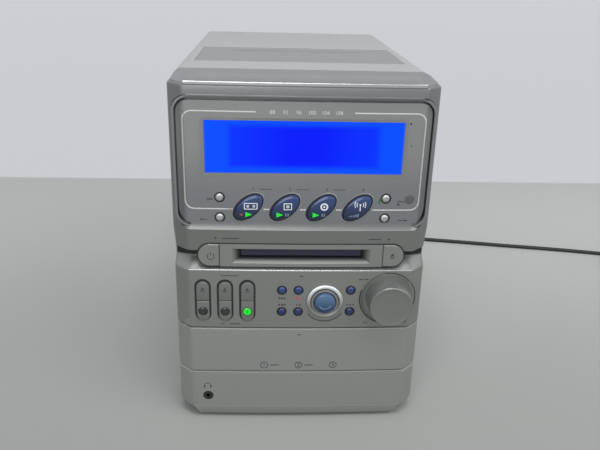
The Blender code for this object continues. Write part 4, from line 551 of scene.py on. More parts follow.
dress(shutter_blue, FINE_EDGE, "cartridge_flap")
dress(display_blue, FINE_EDGE, "display_window")
dress(foot_rubber, FINE_EDGE, "foot_front_left", "foot_front_right", "foot_rear_left", "foot_rear_right")
bushing_rubber = ribbed("bushing_rubber", (0.060, 0.1614, 0.024), (0, 1, 0), (0.004, 0.028))
dress(bushing_rubber, FINE_EDGE, "cord_bushing")

# %% [markdown]
# ## The mains cord
#
# The cord leaves the rear panel through its bushing, drops to the table, and runs off to the right, out of
# the picture. The length that the picture doesn't show is wound into a flat coil of two layers. It is one
# curve with a round section, so that it keeps its thickness in every bend. Its route is a short list of
# given points, with a smooth line drawn through them, and the coil's turns come from a formula.

# %% Route of the cord
CORD_RADIUS = 0.00225
CORD_EXIT = Vector((0.06, 0.1917, 0.024))
ROUTE = (
    (0.06, 0.1965, 0.0239), (0.0605, 0.2045, 0.0225), (0.064, 0.2135, 0.018), (0.0715, 0.2215, 0.0118),
    (0.084, 0.2272, 0.0062), (0.102, 0.2288, 0.0032), (0.122, 0.2262, 0.00235),
    (0.143, 0.2212, 0.00225), (0.166, 0.216, 0.00225), (0.1879, 0.2112, 0.00225), (0.21, 0.2072, 0.00225),
    (0.232, 0.203, 0.00225), (0.252, 0.199, 0.00225), (0.272, 0.195, 0.00225), (0.3, 0.1897, 0.00225),
    (0.33, 0.1842, 0.00225), (0.358, 0.1785, 0.00225), (0.38, 0.1736, 0.00225), (0.402, 0.1686, 0.00225),
)
COIL_CENTRE = (0.432, 0.1235)
COIL_START = math.radians(77.3)
COIL_INNER, COIL_PITCH, COIL_TURNS, COIL_STEPS = 0.0168, 0.005, 4, 24
LEAD_IN, OUT_RUN = 0.009, 0.033


def smooth(points, steps):
    """Points along a Catmull-Rom curve through the given ones."""
    found = [Vector(point) for point in points]
    padded = [found[0] * 2 - found[1], *found, found[-1] * 2 - found[-2]]
    line = []
    for a, b, c, d in zip(padded, padded[1:], padded[2:], padded[3:]):
        for step in range(steps):
            t = step / steps
            bend = (a * 2 - b * 5 + c * 4 - d) * t * t + (b * 3 - a - c * 3 + d) * t * t * t
            line.append((b * 2 + (c - a) * t + bend) / 2)
    line.append(found[-1])
    return line


def coil_line():
    """The coil's loops: in on the table over the turns, up a layer while it turns back, and out again."""
    line = []
    for step in range(2 * COIL_TURNS * COIL_STEPS + 1):
        turns = step / COIL_STEPS
        inward = min(turns, 2 * COIL_TURNS - turns)
        radius = COIL_INNER + COIL_PITCH * (COIL_TURNS - inward)
        climb = min(max((turns - COIL_TURNS) * 2 + 0.5, 0.0), 1.0)
        angle = COIL_START - 2 * math.pi * turns
        x, y = COIL_CENTRE[0] + radius * math.cos(angle), COIL_CENTRE[1] + radius * math.sin(angle)
        line.append(Vector((x, y, CORD_RADIUS + COIL_PITCH * climb)))
    return line


loops = coil_line()
entry = (loops[0] - loops[1]).normalized()
way_out = (loops[-1] - loops[-2]).normalized()
cord_end = loops[-1] + way_out * OUT_RUN
cord_line = [CORD_EXIT, *smooth((*ROUTE, tuple(loops[0] + entry * LEAD_IN * 2)), 3)]
cord_line += [loops[0] + entry * LEAD_IN, *loops, loops[-1] + way_out * LEAD_IN, cord_end]
cord_length = sum((b - a).length for a, b in zip(cord_line, cord_line[1:]))
print("cord from the bushing to the plug:", round(cord_length, 3), "m")

# %% The cord itself
run = bpy.data.curves.new("mains_cord_whole", "CURVE")
run.dimensions = "3D"
run.bevel_depth = CORD_RADIUS
run.bevel_resolution = 3
run.use_fill_caps = True
spline = run.splines.new("POLY")
spline.points.add(len(cord_line) - 1)
for point, place in zip(spline.points, cord_line):
    point.co = (*place, 1)
run.materials.append(cord_rubber)
mains_cord = bpy.data.objects.new("mains_cord_whole", run)
bpy.context.collection.objects.link(mains_cord)
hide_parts("mains_cord", "mains_cord_coil")
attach(mains_cord, "cabinet")
plug_rubber = ribbed("plug_rubber", tuple(cord_end), tuple(way_out), (0.0, 0.012), 0.0415)
dress(plug_rubber, FINE_EDGE, "mains_plug")
print(mains_cord.name, "has", len(spline.points), "points")

# %% [markdown]
# ## Tools for modelling
#
# The small pieces are modelled the way a person would at the screen: place a primitive, extrude, inset,
# scale a ring of points, then finish. A few functions hold the steps that every piece repeats. A turned
# piece starts as a disc whose face is pulled forward and scaled, station by station, like the profile on
# a lathe. A plate starts as a rectangle with rounded corners and is pulled and inset in the same way.

# %% Selecting, turning and plating
FRONT_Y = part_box("display_housing")[0].y
BOW = 0.0015
FLAT_HALF = 0.082
BOW_PARTS = 20
FACING = {"front": (0, 0, 0), "rear": (0, 0, math.pi), "up": (-math.pi / 2, 0, 0)}
UPRIGHT = (math.pi / 2, 0, 0)


def mm(*sizes):
    """Millimetres, written as metres."""
    return sizes[0] / 1000 if len(sizes) == 1 else tuple(size / 1000 for size in sizes)


def face_y(x):
    """The y of the bowed front at this x."""
    return FRONT_Y + BOW * min(abs(x) / FLAT_HALF, 1.0) ** 2


def only(*pieces):
    bpy.ops.object.select_all(action="DESELECT")
    for piece in pieces:
        piece.select_set(True)
    bpy.context.view_layer.objects.active = pieces[-1]


def apply_all():
    """Writes the place, turn and scale of what is selected into its mesh."""
    bpy.ops.object.transform_apply(location=True, rotation=True, scale=True)


def placed(piece, spot, facing):
    """Turns and moves a piece that was modelled at the origin facing the viewer, and applies that."""
    only(piece)
    piece.rotation_euler = FACING[facing]
    piece.location = spot
    apply_all()


def open_mesh(piece):
    """Edit mode on one piece, with all of it selected."""
    only(piece)
    bpy.ops.object.mode_set(mode="EDIT")
    bpy.ops.mesh.select_all(action="SELECT")


def close_mesh(mend=True):
    """Back to object mode, once the normals have been turned outwards."""
    if mend:
        bpy.ops.mesh.select_all(action="SELECT")
        bpy.ops.mesh.normals_make_consistent(inside=False)
    bpy.ops.object.mode_set(mode="OBJECT")


def hollow(width):
    """In edit mode, leaves only a frame of a flat piece, this many mm wide."""
    bpy.ops.mesh.inset(thickness=mm(width))
    bpy.ops.mesh.delete(type="FACE")


def pull(stations):
    """In edit mode, pulls the selected face through (radius, forward) stations, like a lathe's profile."""
    for (radius, forward), (next_radius, next_forward) in zip(stations, stations[1:]):
        bpy.ops.mesh.extrude_region_move(TRANSFORM_OT_translate={"value": (0, forward - next_forward, 0)})
        if next_radius == 0:
            bpy.ops.mesh.merge(type="CENTER")
        else:
            share = next_radius / radius
            bpy.ops.transform.resize(value=(share, 1, share), center_override=(0, -next_forward, 0))


def turned(name, spot, stations, sides=48, facing="front"):
    """A piece turned about the axis that it faces along. Each station is (radius, forward) in mm."""
    stations = [mm(*station) for station in stations]
    bpy.ops.object.select_all(action="DESELECT")
    bpy.ops.mesh.primitive_circle_add(vertices=sides, radius=stations[0][0], fill_type="NGON",
                                      location=(0, -stations[0][1], 0), rotation=UPRIGHT)
    piece = bpy.context.object
    piece.name = name
    apply_all()
    open_mesh(piece)
    pull(stations)
    close_mesh()
    placed(piece, spot, facing)
    return piece


def plate(name, spot, width, height, radius, stations, facing="front"):
    """A plate with round corners. Each station is (inset, forward) in mm, counted from its back."""
    bpy.ops.object.select_all(action="DESELECT")
    bpy.ops.mesh.primitive_plane_add(size=1, rotation=UPRIGHT)
    piece = bpy.context.object
    piece.name = name
    piece.scale = (mm(width), mm(height), 1)
    apply_all()
    open_mesh(piece)
    bpy.ops.mesh.bevel(affect="VERTICES", offset=mm(radius), segments=6, offset_type="OFFSET")
    bpy.ops.mesh.select_all(action="SELECT")
    before_inset, before = 0, 0
    for inset, forward in stations:
        if inset == before_inset:
            step = (0, mm(before - forward), 0)
            bpy.ops.mesh.extrude_region_move(TRANSFORM_OT_translate={"value": step})
        else:
            bpy.ops.mesh.inset(thickness=mm(inset - before_inset), depth=mm(forward - before))
        before_inset, before = inset, forward
    close_mesh()
    placed(piece, spot, facing)
    return piece


def bowed(name, x, z, width, height, radius, back, deep, hole=0.0):
    """A plate or a frame that follows the bow of the front, with its face this far behind it, in mm."""
    piece = plate(name, (0, 0, 0), width, height, radius, [])
    open_mesh(piece)
    if hole:
        hollow(hole)
    for step in range(1, BOW_PARTS):
        bpy.ops.mesh.select_all(action="SELECT")
        bpy.ops.mesh.bisect(plane_co=(mm(width * (step / BOW_PARTS - 0.5)), 0, 0), plane_no=(1, 0, 0))
    bpy.ops.mesh.select_all(action="SELECT")
    bpy.ops.mesh.extrude_region_move(TRANSFORM_OT_translate={"value": (0, -mm(deep), 0)})
    close_mesh()
    for vertex in piece.data.vertices:
        vertex.co.y += face_y(vertex.co.x + mm(x)) - FRONT_Y
    placed(piece, (mm(x), FRONT_Y + mm(back + deep), mm(z)), "front")
    return piece


def rounded(piece, width, segments=3):
    """Rounds every sharp edge, as a finished step."""
    only(piece)
    edge = piece.modifiers.new("round edges", "BEVEL")
    edge.width, edge.segments = mm(width), segments
    edge.limit_method, edge.angle_limit = "ANGLE", math.radians(40)
    bpy.ops.object.modifier_apply(modifier=edge.name)
    return piece


def joined(name, *pieces):
    only(*pieces)
    if len(pieces) > 1:
        bpy.ops.object.join()
    piece = bpy.context.object
    piece.name = name
    return piece


def settle(piece, body, slot, material, replaces=(), smooth=math.radians(35)):
    """Paints a finished piece, shades it, and gives it to the body that it moves with."""
    only(piece)
    piece.data.materials.clear()
    piece.data.materials.append(material)
    bpy.ops.object.shade_smooth_by_angle(angle=smooth)
    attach(piece, body)
    if replaces:
        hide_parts(*replaces)
    return piece


def middle(node):
    low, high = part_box(node)
    return (low + high) / 2


def low_face(node):
    """The y of a solid's front."""
    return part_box(node)[0].y


print("front face at y", round(FRONT_Y * 1000, 1), "mm, bowed by", BOW * 1000, "mm")

# %% [markdown]
# ## Printed marks
#
# The marks on the front are inks, so they have no thickness to speak of. Each is a flat shape or a number
# that is laid on the surface behind it with a Shrinkwrap modifier, which throws it backwards until it
# lands, then holds it a twentieth of a millimetre above. The marks are all generic: arrows, rings, numbers
# and pictograms.

# %% Flat shapes and printing
LIFT = 0.00005


def shape(sides, x, z, width, height=None, turn=0, hole=0.0):
    """A flat shape facing the viewer, in mm. Three sides point up, four make a bar, many make a disc."""
    height = width if height is None else height
    bpy.ops.object.select_all(action="DESELECT")
    if sides == 4:
        bpy.ops.mesh.primitive_plane_add(size=1, rotation=UPRIGHT)
    else:
        bpy.ops.mesh.primitive_circle_add(vertices=sides, radius=0.5, fill_type="NGON", rotation=UPRIGHT)
    piece = bpy.context.object
    piece.scale = (mm(width), mm(height), 1)
    apply_all()
    if hole:
        open_mesh(piece)
        hollow(hole)
        close_mesh(mend=False)
    piece.rotation_euler = (0, math.radians(turn), 0)
    piece.location = (mm(x), 0, mm(z))
    apply_all()
    return piece


def digits(text, x, z, height):
    """Numbers, centred on a place, in mm."""
    bpy.ops.object.select_all(action="DESELECT")
    bpy.ops.object.text_add(rotation=UPRIGHT)
    piece = bpy.context.object
    piece.data.body = text
    piece.data.align_x, piece.data.align_y = "CENTER", "CENTER"
    piece.data.size = mm(height) * 1.4
    piece.data.resolution_u = 4
    bpy.ops.object.convert(target="MESH")
    piece.location = (mm(x), 0, mm(z))
    apply_all()
    return piece


def strokes(*rows):
    """Bars from rows of x, z, width and height, in mm."""
    return [shape(4, *row) for row in rows]


def arc(x, z, radius, thick, start, end, steps=12):
    """Part of a ring as short bars, from one angle to another, counted from straight up, clockwise."""
    length = math.radians(abs(end - start)) * radius / steps * 1.06
    bars = []
    for step in range(steps):
        turn = start + (end - start) * (step + 0.5) / steps
        angle = math.radians(turn)
        bar_x, bar_z = x + radius * math.sin(angle), z + radius * math.cos(angle)
        bars.append(shape(4, bar_x, bar_z, length, thick, turn=math.degrees(angle)))
    return bars


def printed(name, target, ink_used, body, *shapes, lift=LIFT, slot="black_plastic", cuts=0):
    """Joins flat shapes and lays them on a surface, as ink or as painted shade. Cuts let them follow a curved
    one.
    """
    piece = joined(name, *shapes)
    if cuts:
        open_mesh(piece)
        bpy.ops.mesh.subdivide(number_cuts=cuts)
        close_mesh(mend=False)
    piece.location = (0, FRONT_Y - 0.03, 0)
    apply_all()
    lay = piece.modifiers.new("lay on", "SHRINKWRAP")
    lay.target, lay.offset = target, lift
    lay.wrap_method, lay.wrap_mode = "PROJECT", "ABOVE_SURFACE"
    lay.use_project_x, lay.use_project_y, lay.use_project_z = False, True, False
    lay.use_negative_direction, lay.use_positive_direction = False, True
    bpy.ops.object.modifier_apply(modifier=lay.name)
    missed = sum(1 for vertex in piece.data.vertices if vertex.co.y < FRONT_Y - 0.029)
    if missed:
        print("off its surface:", name, missed, "points")
    return settle(piece, body, slot, ink_used)


print("ink lies", LIFT * 1000, "mm above its surface")

# %% [markdown]
# ## The outline on the display fascia
#
# A thin light line runs round the display and passes behind the four large keys. At the top it opens for
# a tuning scale. The line is a rounded rectangle, inset by its own width, with the inner face deleted. It
# is then cut into short lengths, so that it can follow the bow of the front, and the lengths in the gap
# and behind the keys are taken out.

# %% Outline and tuning scale
fascia = solids["display_fascia"]
OUTLINE_LOW, OUTLINE_HIGH, OUTLINE_HALF = 176.3, 245.9, 82.4
LINE = 0.85


def outline_ring(width, height, radius):
    """A rounded rectangle of line about the origin, cut into short lengths."""
    ring = plate("outline", (0, 0, 0), width, height, radius, [])
    open_mesh(ring)
    hollow(LINE)
    for step in range(-9, 10):
        bpy.ops.mesh.select_all(action="SELECT")
        bpy.ops.mesh.bisect(plane_co=(step * width / 20000, 0, 0), plane_no=(1, 0, 0))
    close_mesh(mend=False)
    return ring


def drop_faces(piece, test):
    """Deletes the faces whose middle passes a test, and counts them."""
    open_mesh(piece)
    bpy.ops.mesh.select_all(action="DESELECT")
    work = bmesh.from_edit_mesh(piece.data)
    found = [face for face in work.faces if test(face.calc_center_median())]
    for face in found:
        face.select_set(True)
    bmesh.update_edit_mesh(piece.data)
    bpy.ops.mesh.delete(type="FACE")
    close_mesh(mend=False)
    return len(found)


outline = outline_ring(OUTLINE_HALF * 2, OUTLINE_HIGH - OUTLINE_LOW, 6.5)
placed(outline, (0, 0, (OUTLINE_HIGH + OUTLINE_LOW) / 2000), "front")
top_line, low_line = mm(OUTLINE_HIGH - 2), mm(OUTLINE_LOW + 2)
gone = drop_faces(outline, lambda spot: spot.z > top_line and abs(spot.x) < 0.029)
gone += drop_faces(outline, lambda spot: spot.z < low_line and abs(spot.x) < 0.049)
between_keys = ((-25.5, 4.2), (0, 4.2), (25.5, 4.2), (-51.2, 4.5), (51.2, 4.5))
links = strokes(*[(x, OUTLINE_LOW + 0.42, width, LINE) for x, width in between_keys])
printed("fascia_outline", fascia, light_ink, "cabinet", outline, *links, slot="white_plastic")
scale = [digits(text, x, OUTLINE_HIGH - 0.6, 2.6) for text, x in
         (("88", -22), ("92", -13.2), ("96", -4.4), ("100", 4.4), ("104", 13.4), ("108", 22.4))]
printed("tuning_scale", fascia, light_ink, "cabinet", *scale, slot="white_plastic")
FIRST_NUMBER, KEY_STEP, NUMBER_Z = -38.3, 25.55, 191.6
numbers = [digits(str(n + 1), FIRST_NUMBER + KEY_STEP * n + 3.5, NUMBER_Z, 2.6) for n in range(4)]
numbers += strokes(*[(FIRST_NUMBER + KEY_STEP * n + 12.3, NUMBER_Z, 8.6, 0.5) for n in range(3)])
printed("source_numbers", fascia, dark_ink, "cabinet", *numbers)
specks = [shape(8, 71.6, 238.6, 1.3, 1.8), shape(8, 73.2, 223.5, 0.9, 1.3)]
printed("fascia_specks", fascia, dark_ink, "cabinet", *specks)
print("outline: took out", gone, "lengths")

# %% [markdown]
# ## Round keys
#
# A solid stands in for each round key with a flat front, but the real ones are little domes that catch the
# light in one bright point. A dome is turned from its back face in six stations, taken from the solid's own
# box, and replaces the solid. The four large keys are the same dome, stretched to an oval and leaned.

# %% Domed keys
OVAL_LONG, OVAL_SHORT, OVAL_LEAN = 12.0, 6.7, -42
SMALL_KEYS = ("display", "skip_back", "timer", "skip_forward")
DOME = ((1.0, 1.5), (0.95, 0.75), (0.84, 0.36), (0.62, 0.12), (0.34, 0.02), (0.0, 0.0))


def domed(name, body, slot, material, share=1.0):
    """A turned key in the place and size of a solid. The fronts of DOME are counted back from its front."""
    low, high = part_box(name)
    radius, depth = (high.x - low.x) * 500 * share, (high.y - low.y) * 1000
    stations = [(radius, 0)] + [(radius * part, depth - back) for part, back in DOME]
    spot = ((low.x + high.x) / 2, high.y, (low.z + high.z) / 2)
    key = turned(name + "_dome", spot, stations)
    return settle(key, body, slot, material, (name,))


def stretched(piece, long_share, short_share, spot):
    """Turns a round piece into a leaning oval and puts it in its place."""
    piece.scale = (long_share, 1, short_share)
    apply_all()
    piece.rotation_euler = (0, math.radians(OVAL_LEAN), 0)
    piece.location = spot
    apply_all()
    return piece


def oval(number):
    """The same dome, made 10 mm in radius at the origin, then stretched and leaned."""
    node = f"source_button_{number}"
    low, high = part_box(node)
    depth = (high.y - low.y) * 1000
    stations = [(10, 0)] + [(10 * share, depth - back * 1.1) for share, back in DOME]
    key = turned(f"source_key_dome_{number}", (0, 0, 0), stations, sides=72)
    spot = ((low.x + high.x) / 2 + 0.0003, high.y, (low.z + high.z) / 2 - 0.0004)
    stretched(key, OVAL_LONG / 10, OVAL_SHORT / 10, spot)
    return settle(key, f"source_key_{number}", "blue_gloss", navy, (node,))


source_keys = [oval(number) for number in (1, 2, 3, 4)]
function_keys = [domed(f"function_button_{number}", f"function_key_{number}", "blue_gloss", key_navy, 0.88)
                 for number in range(1, 7)]
small_keys = [domed(name + "_button", name + "_key", "silver_plastic", key_chrome, 0.86)
              for name in SMALL_KEYS]
print("domed keys:", len(source_keys), "ovals,", len(function_keys) + len(small_keys), "round")

# %% [markdown]
# ## Gaps and rims around the keys
#
# A key sits in a hole that is a little larger than itself, and the eye reads that gap as a dark outline.
# Each outline is a dark shape of painted shade laid on the panel under its key, moved a little up and left
# where the photo shows the gap wider. The four ovals also have a thin bright rim, which is a ring with an
# arched section.

# %% Painted shade in the gaps, and bright rims
GAP_LIFT = 0.00003
FASCIA_BACK = 0.0012
panel = solids["control_panel"]
gaps = []
for column in (1, 2, 3):
    spot = (middle(f"tray_button_{column}") + middle(f"disc_button_{column}")) * 500
    gaps.append(plate("gap", (mm(spot.x), 0, mm(spot.z + 0.05)), 12.1, 34.3, 6.0, []))
for number in range(1, 7):
    spot = middle(f"function_button_{number}") * 1000
    gaps.append(shape(32, spot.x, spot.z, 7.6))
dish = middle("volume_knob") * 1000
gaps.append(shape(128, dish.x, dish.z, 41.6, hole=0.7))
# A thicker arc at the lower left is painted shadow under the dish's rim.
gaps += arc(dish.x - 0.3, dish.z - 0.3, 20.9, 0.9, 185, 290, steps=24)
printed("panel_gaps", panel, painted_gap_shade, "cabinet", *gaps, lift=GAP_LIFT)
gaps = []
for name in SMALL_KEYS:
    spot = middle(name + "_button") * 1000
    gaps.append(shape(32, spot.x + 0.15, spot.z - 0.1, 7.7))
for number in (1, 2, 3, 4):
    spot = middle(f"source_button_{number}") * 1000
    gaps.append(shape(72, spot.x + 0.05, spot.z - 0.2, 26.3, 15.5, turn=OVAL_LEAN))
printed("fascia_gaps", fascia, painted_gap_shade, "cabinet", *gaps, lift=GAP_LIFT)


def hoop(name, spot, radius, width, proud, sides=64, facing="front", sink=0.4):
    """A ring with a low arched section, resting on a surface. Radius is to the middle of its width, in mm."""
    half = width / 2
    arch = [(half, -sink), (half, proud * 0.5), (half * 0.5, proud),
            (-half * 0.5, proud), (-half, proud * 0.5), (-half, -sink)]
    stations = [mm(radius + aside, forward) for aside, forward in arch]
    bpy.ops.object.select_all(action="DESELECT")
    bpy.ops.mesh.primitive_circle_add(vertices=sides, radius=stations[0][0], fill_type="NOTHING",
                                      location=(0, mm(sink), 0), rotation=UPRIGHT)
    ring = bpy.context.object
    ring.name = name
    apply_all()
    open_mesh(ring)
    pull(stations + stations[:1])
    bpy.ops.mesh.select_all(action="SELECT")
    bpy.ops.mesh.remove_doubles(threshold=0.000002)
    close_mesh()
    placed(ring, spot, facing)
    return ring


rims = []
for number in (1, 2, 3, 4):
    spot = middle(f"source_button_{number}")
    rim = hoop("rim", (0, 0, 0), 10.0, 0.42, 0.35, sides=72)
    rims.append(stretched(rim, 1.325, 0.785, (spot.x, face_y(spot.x) + FASCIA_BACK, spot.z)))
settle(joined("oval_rims", *rims), "cabinet", "silver_plastic", key_chrome)
# Black rings of painted shade lie in the recess round each function key.
rims = []
for number in range(1, 7):
    spot = middle(f"function_button_{number}")
    rims.append(hoop("rim", (spot.x, face_y(spot.x), spot.z), 3.25, 0.75, 0.35, sides=40))
settle(joined("function_key_gap_shade", *rims), "cabinet", "black_plastic", black_plastic)
print("gaps and rims in place")

# %% [markdown]
# ## Columns, strip keys and lamps
#
# A column is one tall plate with round ends, in the same grey as the panel, cut across to make an upper and
# a lower key. Its edges are rounded by a bevel after the cut, so that the cut edges catch the light too.
# It is narrower than its recess, and the recess shows as a dark outline of painted shade that is wider at
# the top and the left. Each lower key has a round lens with a number on it, and the lens of the disc that
# plays is lit.

# %% Columns and lenses
COLUMN_BOTTOM, COLUMN_TOP, COLUMN_SPLIT, HALF_GAP = 0.0889, 0.1206, 0.1053, 0.0003
LENS_Z = 96.8


def column_key(name, body, upper):
    """The upper or the lower part of a column, in place of its solid."""
    low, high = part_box(name)
    centre, height = (COLUMN_TOP + COLUMN_BOTTOM) / 2, (COLUMN_TOP - COLUMN_BOTTOM) * 1000
    key = plate(name + "_plate", (0, 0, 0), 9.2, height, 4.58, [(0, (high.y - low.y) * 1000)])
    open_mesh(key)
    cut = COLUMN_SPLIT - centre + (HALF_GAP if upper else -HALF_GAP)
    bpy.ops.mesh.bisect(plane_co=(0, 0, cut), plane_no=(0, 0, 1), use_fill=True, clear_inner=upper,
                        clear_outer=not upper)
    close_mesh(mend=False)
    rounded(key, 0.55)
    placed(key, ((low.x + high.x) / 2 + 0.0001, high.y, centre), "front")
    return settle(key, body, "silver_plastic", column_silver, (name,))


for number in (1, 2, 3):
    tray_key = column_key(f"tray_button_{number}", f"tray_key_{number}", True)
    body = f"disc_key_{number}"
    column_key(f"disc_button_{number}", body, False)
    x, front = middle(f"tray_button_{number}").x, low_face(f"disc_button_{number}")
    printed(f"open_mark_{number}", tray_key, dark_ink, f"tray_key_{number}",
            shape(3, x * 1000, 114.9, 3.1, 2.9), *strokes((x * 1000, 113.1, 3.0, 0.65)))
    lens = turned(f"disc_lens_{number}", (x, front, mm(LENS_Z)),
                  [(3.0, 0), (3.0, 0.1), (2.7, 0.32), (1.7, 0.5), (0, 0.56)], sides=40)
    settle(lens, body, "black_plastic", green_lit if number == 3 else dark_lens)
    seat = hoop(f"lens_seat_{number}", (x, front, mm(LENS_Z)), 3.25, 0.55, 0.3, sides=40, sink=0.02)
    settle(seat, body, "black_plastic", black_plastic)
    printed(f"lens_number_{number}", lens, green_dim if number == 3 else dark_ink, body,
            digits(str(4 - number), x * 1000, LENS_Z, 3.2))

# %% Strip keys and the band of painted shade around the strip
# A black band of painted shade fills the gap round the strip.
dark_line = bowed("strip_gap_shade", 0, 141.65, 150.2, 18.6, 9.25, back=0.3, deep=6.0, hole=0.6)
settle(dark_line, "cabinet", "black_plastic", black_plastic)
power = arc(-65.2, 140.9, 2.5, 0.55, 35, 325, steps=18) + strokes((-65.2, 142.9, 0.55, 2.6))
printed("power_mark", solids["standby_button"], dark_ink, "standby_key", *power)
printed("eject_mark", solids["cartridge_eject_button"], dark_ink, "cartridge_eject_key",
        shape(3, 66.0, 142.3, 3.8, 3.4), *strokes((66.0, 140.2, 3.4, 0.7)))
print("strip keys marked")

# %% [markdown]
# ## Jog dial and volume knob
#
# The dial is a bright collar, a ring that turns, and a pale blue dome that presses in. The collar's trim
# is a ring with an arched section, so that its upper half faces the light and shines while its lower half
# stays dark, and a painted highlight makes its top paler still. Black rings of painted shade lie in the gaps
# round the turning ring and round the dome, and the dome is paler at its top as painted light. The knob is
# turned in twelve stations: a slightly tapered side with a small lip at its front edge, and a face that is
# dished by a few tenths of a millimetre.

# %% Dial and knob
DOME_LIFT = 0.00009
dial, ring_front = middle("dial_ring"), low_face("dial_ring")
collar_y = face_y(dial.x) - 0.0009
# The trim's finish is pale at its top: a painted highlight.
trim = hoop("dial_trim", (dial.x, collar_y, dial.z + 0.0007), 12.1, 2.6, 0.9, sides=96)
settle(trim, "cabinet", "silver_plastic", collar_silver)
# The two black rings are painted shade in the gaps round the turning ring and round the dome.
rim = hoop("dial_gap", (dial.x, collar_y, dial.z), 10.9, 0.7, 0.5, sides=96)
settle(rim, "cabinet", "black_plastic", black_plastic)
rim = hoop("dome_gap", (dial.x, ring_front + 0.0006, dial.z), 8.1, 0.7, 0.3, sides=96)
settle(rim, "jog_ring", "black_plastic", black_plastic)
ring = hoop("dial_ring_turned", (dial.x, ring_front + 0.0011, dial.z), 9.4, 2.4, 1.1, sides=96, sink=3.4)
settle(ring, "jog_ring", "silver_plastic", panel_silver, ("dial_ring",))
dome = domed("dial_button", "jog_key", "blue_gloss", dome_blue)
smile = arc(18.1, 105.4, 4.6, 0.55, 115, 245, steps=14)
printed("dial_smile", dome, smile_ink, "jog_key", *smile, lift=DOME_LIFT, slot="white_plastic")

low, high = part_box("volume_knob")
reach, wide = (high.y - low.y) * 1000, (high.x - low.x) * 500
side = ((2.0, 0), (0, 0.4), (0, 5.0), (0.5, 12.0))
lip_and_face = ((0.9, 1.3), (1.1, 0.5), (1.5, 0.08), (1.9, 0), (2.3, 0.12), (5.0, 0.30), (10.0, 0.42),
                (wide, 0.46))
stations = [(wide - inset, forward) for inset, forward in side]
stations += [(wide - inset, reach - back) for inset, back in lip_and_face]
spot = middle("volume_knob")
knob = turned("volume_knob_turned", (spot.x, high.y, spot.z), stations, sides=128)
settle(knob, "volume", "silver_plastic", knob_silver, ("volume_knob",), smooth=math.radians(24))
print("knob", round(reach, 1), "mm deep,", round(wide * 2, 1), "mm wide")

# %% [markdown]
# ## Marks on the keys and the panels
#
# The large keys carry pictograms for tape, cartridge, disc and radio, with the play arrows under them
# lit green. The panels have small arrows, dots and rules near the keys, and rings with the numbers of the
# three discs on the drawer. All places were measured in the photo and carried onto the surface.

# %% Marks on the ovals
WORD_Z, PLAY_Z = 179.6, 173.4
TAPE_X, CARTRIDGE_X, DISC_X, RADIO_X = -36.4, -10.6, 14.9, 40.2


def on_key(name, number, ink_used, *marks, slot="black_plastic", cuts=2):
    """Prints marks on one of the four large keys."""
    key = source_keys[number - 1]
    printed(name, key, ink_used, f"source_key_{number}", *marks, lift=DOME_LIFT, slot=slot, cuts=cuts)


case = plate("case", (0, 0, 0), 9.4, 4.8, 0.8, [])
open_mesh(case)
hollow(0.6)
close_mesh(mend=False)
placed(case, mm(TAPE_X, 0, WORD_Z), "front")
tape = [case] + [shape(20, TAPE_X + side, WORD_Z, 1.9, hole=0.5) for side in (-2.1, 2.1)]
cartridge = [shape(4, CARTRIDGE_X, WORD_Z, 5.8, 5.0, hole=0.6), shape(20, CARTRIDGE_X, WORD_Z, 2.2, hole=0.6)]
disc = [shape(32, DISC_X, WORD_Z, 5.6, hole=1.1), shape(16, DISC_X, WORD_Z, 1.4)]
radio = strokes((RADIO_X, WORD_Z - 0.6, 0.7, 4.4)) + [shape(12, RADIO_X, WORD_Z + 1.7, 1.4)]
for side in (-1, 1):
    for radius, start, end in ((2.3, 50, 130), (3.8, 55, 125)):
        radio += arc(RADIO_X, WORD_Z + 1.7, radius, 0.55, side * start, side * end, steps=6)
for number, marks in enumerate((tape, cartridge, disc, radio), 1):
    on_key(f"source_pictogram_{number}", number, white_ink, *marks, slot="white_plastic")
for number, x in enumerate((-38.6, -16.9, 8.5), 1):
    arrow = shape(3, x, PLAY_Z, 4.4, 6.2, turn=90)
    on_key(f"play_mark_{number}", number, green_lit, arrow, slot="white_plastic", cuts=4)
on_key("reverse_mark", 1, red_ink, shape(3, -43.0, PLAY_Z, 2.4, 2.9, turn=-90))
for number, x in ((2, -11.1), (3, 14.4)):
    pause = strokes(*[(x + aside, PLAY_Z, 0.8, 2.4) for aside in (-0.8, 0.8)])
    on_key(f"pause_mark_{number}", number, grey_ink, *pause)
steps = [(33.0 + 1.5 * step, PLAY_Z - 1.0 + 0.22 * step, 0.8, 0.8 + 0.45 * step) for step in range(5)]
on_key("band_mark", 4, grey_ink, *strokes(*steps))

# %% Marks on the panels
fascia_marks = strokes((-65.0, 183.8, 4.2, 0.8), (-71.2, 168.6, 2.0, 1.0), (-68.4, 168.6, 2.6, 0.6),
                       (69.5, 183.0, 5.2, 0.6), (69.8, 168.8, 3.2, 0.6), (73.4, 168.8, 2.8, 1.0))
printed("fascia_rules", fascia, dark_ink, "cabinet", *fascia_marks)
housing_marks = [shape(3, -61.5, 154.8, 2.4, 2.2, turn=180), *strokes((-51.0, 154.6, 12.0, 0.7)),
                 shape(3, 62.7, 154.4, 2.4, 2.2, turn=180), *strokes((52.5, 154.5, 9.0, 0.7))]
printed("housing_marks", solids["display_housing"], dark_ink, "cabinet", *housing_marks)
panel_marks = [shape(3, 0.5, 125.5, 5.2, 1.5, hole=0.35)]
panel_marks += strokes((-52.0, 125.6, 13.0, 0.55), (44.2, 122.8, 3.0, 0.7), (48.2, 122.8, 3.0, 0.7),
                       (52.2, 122.8, 3.0, 0.7), (49.6, 86.6, 2.8, 0.6), (80.0, 86.8, 2.8, 0.6),
                       (80.0, 86.8, 0.6, 2.8), (-57.5, 85.6, 3.4, 0.5), (-48.5, 85.6, 8.0, 0.7))
panel_marks += strokes(*[(x, z, 1.4, 1.4) for x in (-15.6, -13.6, -11.6) for z in (107.4, 102.0)])
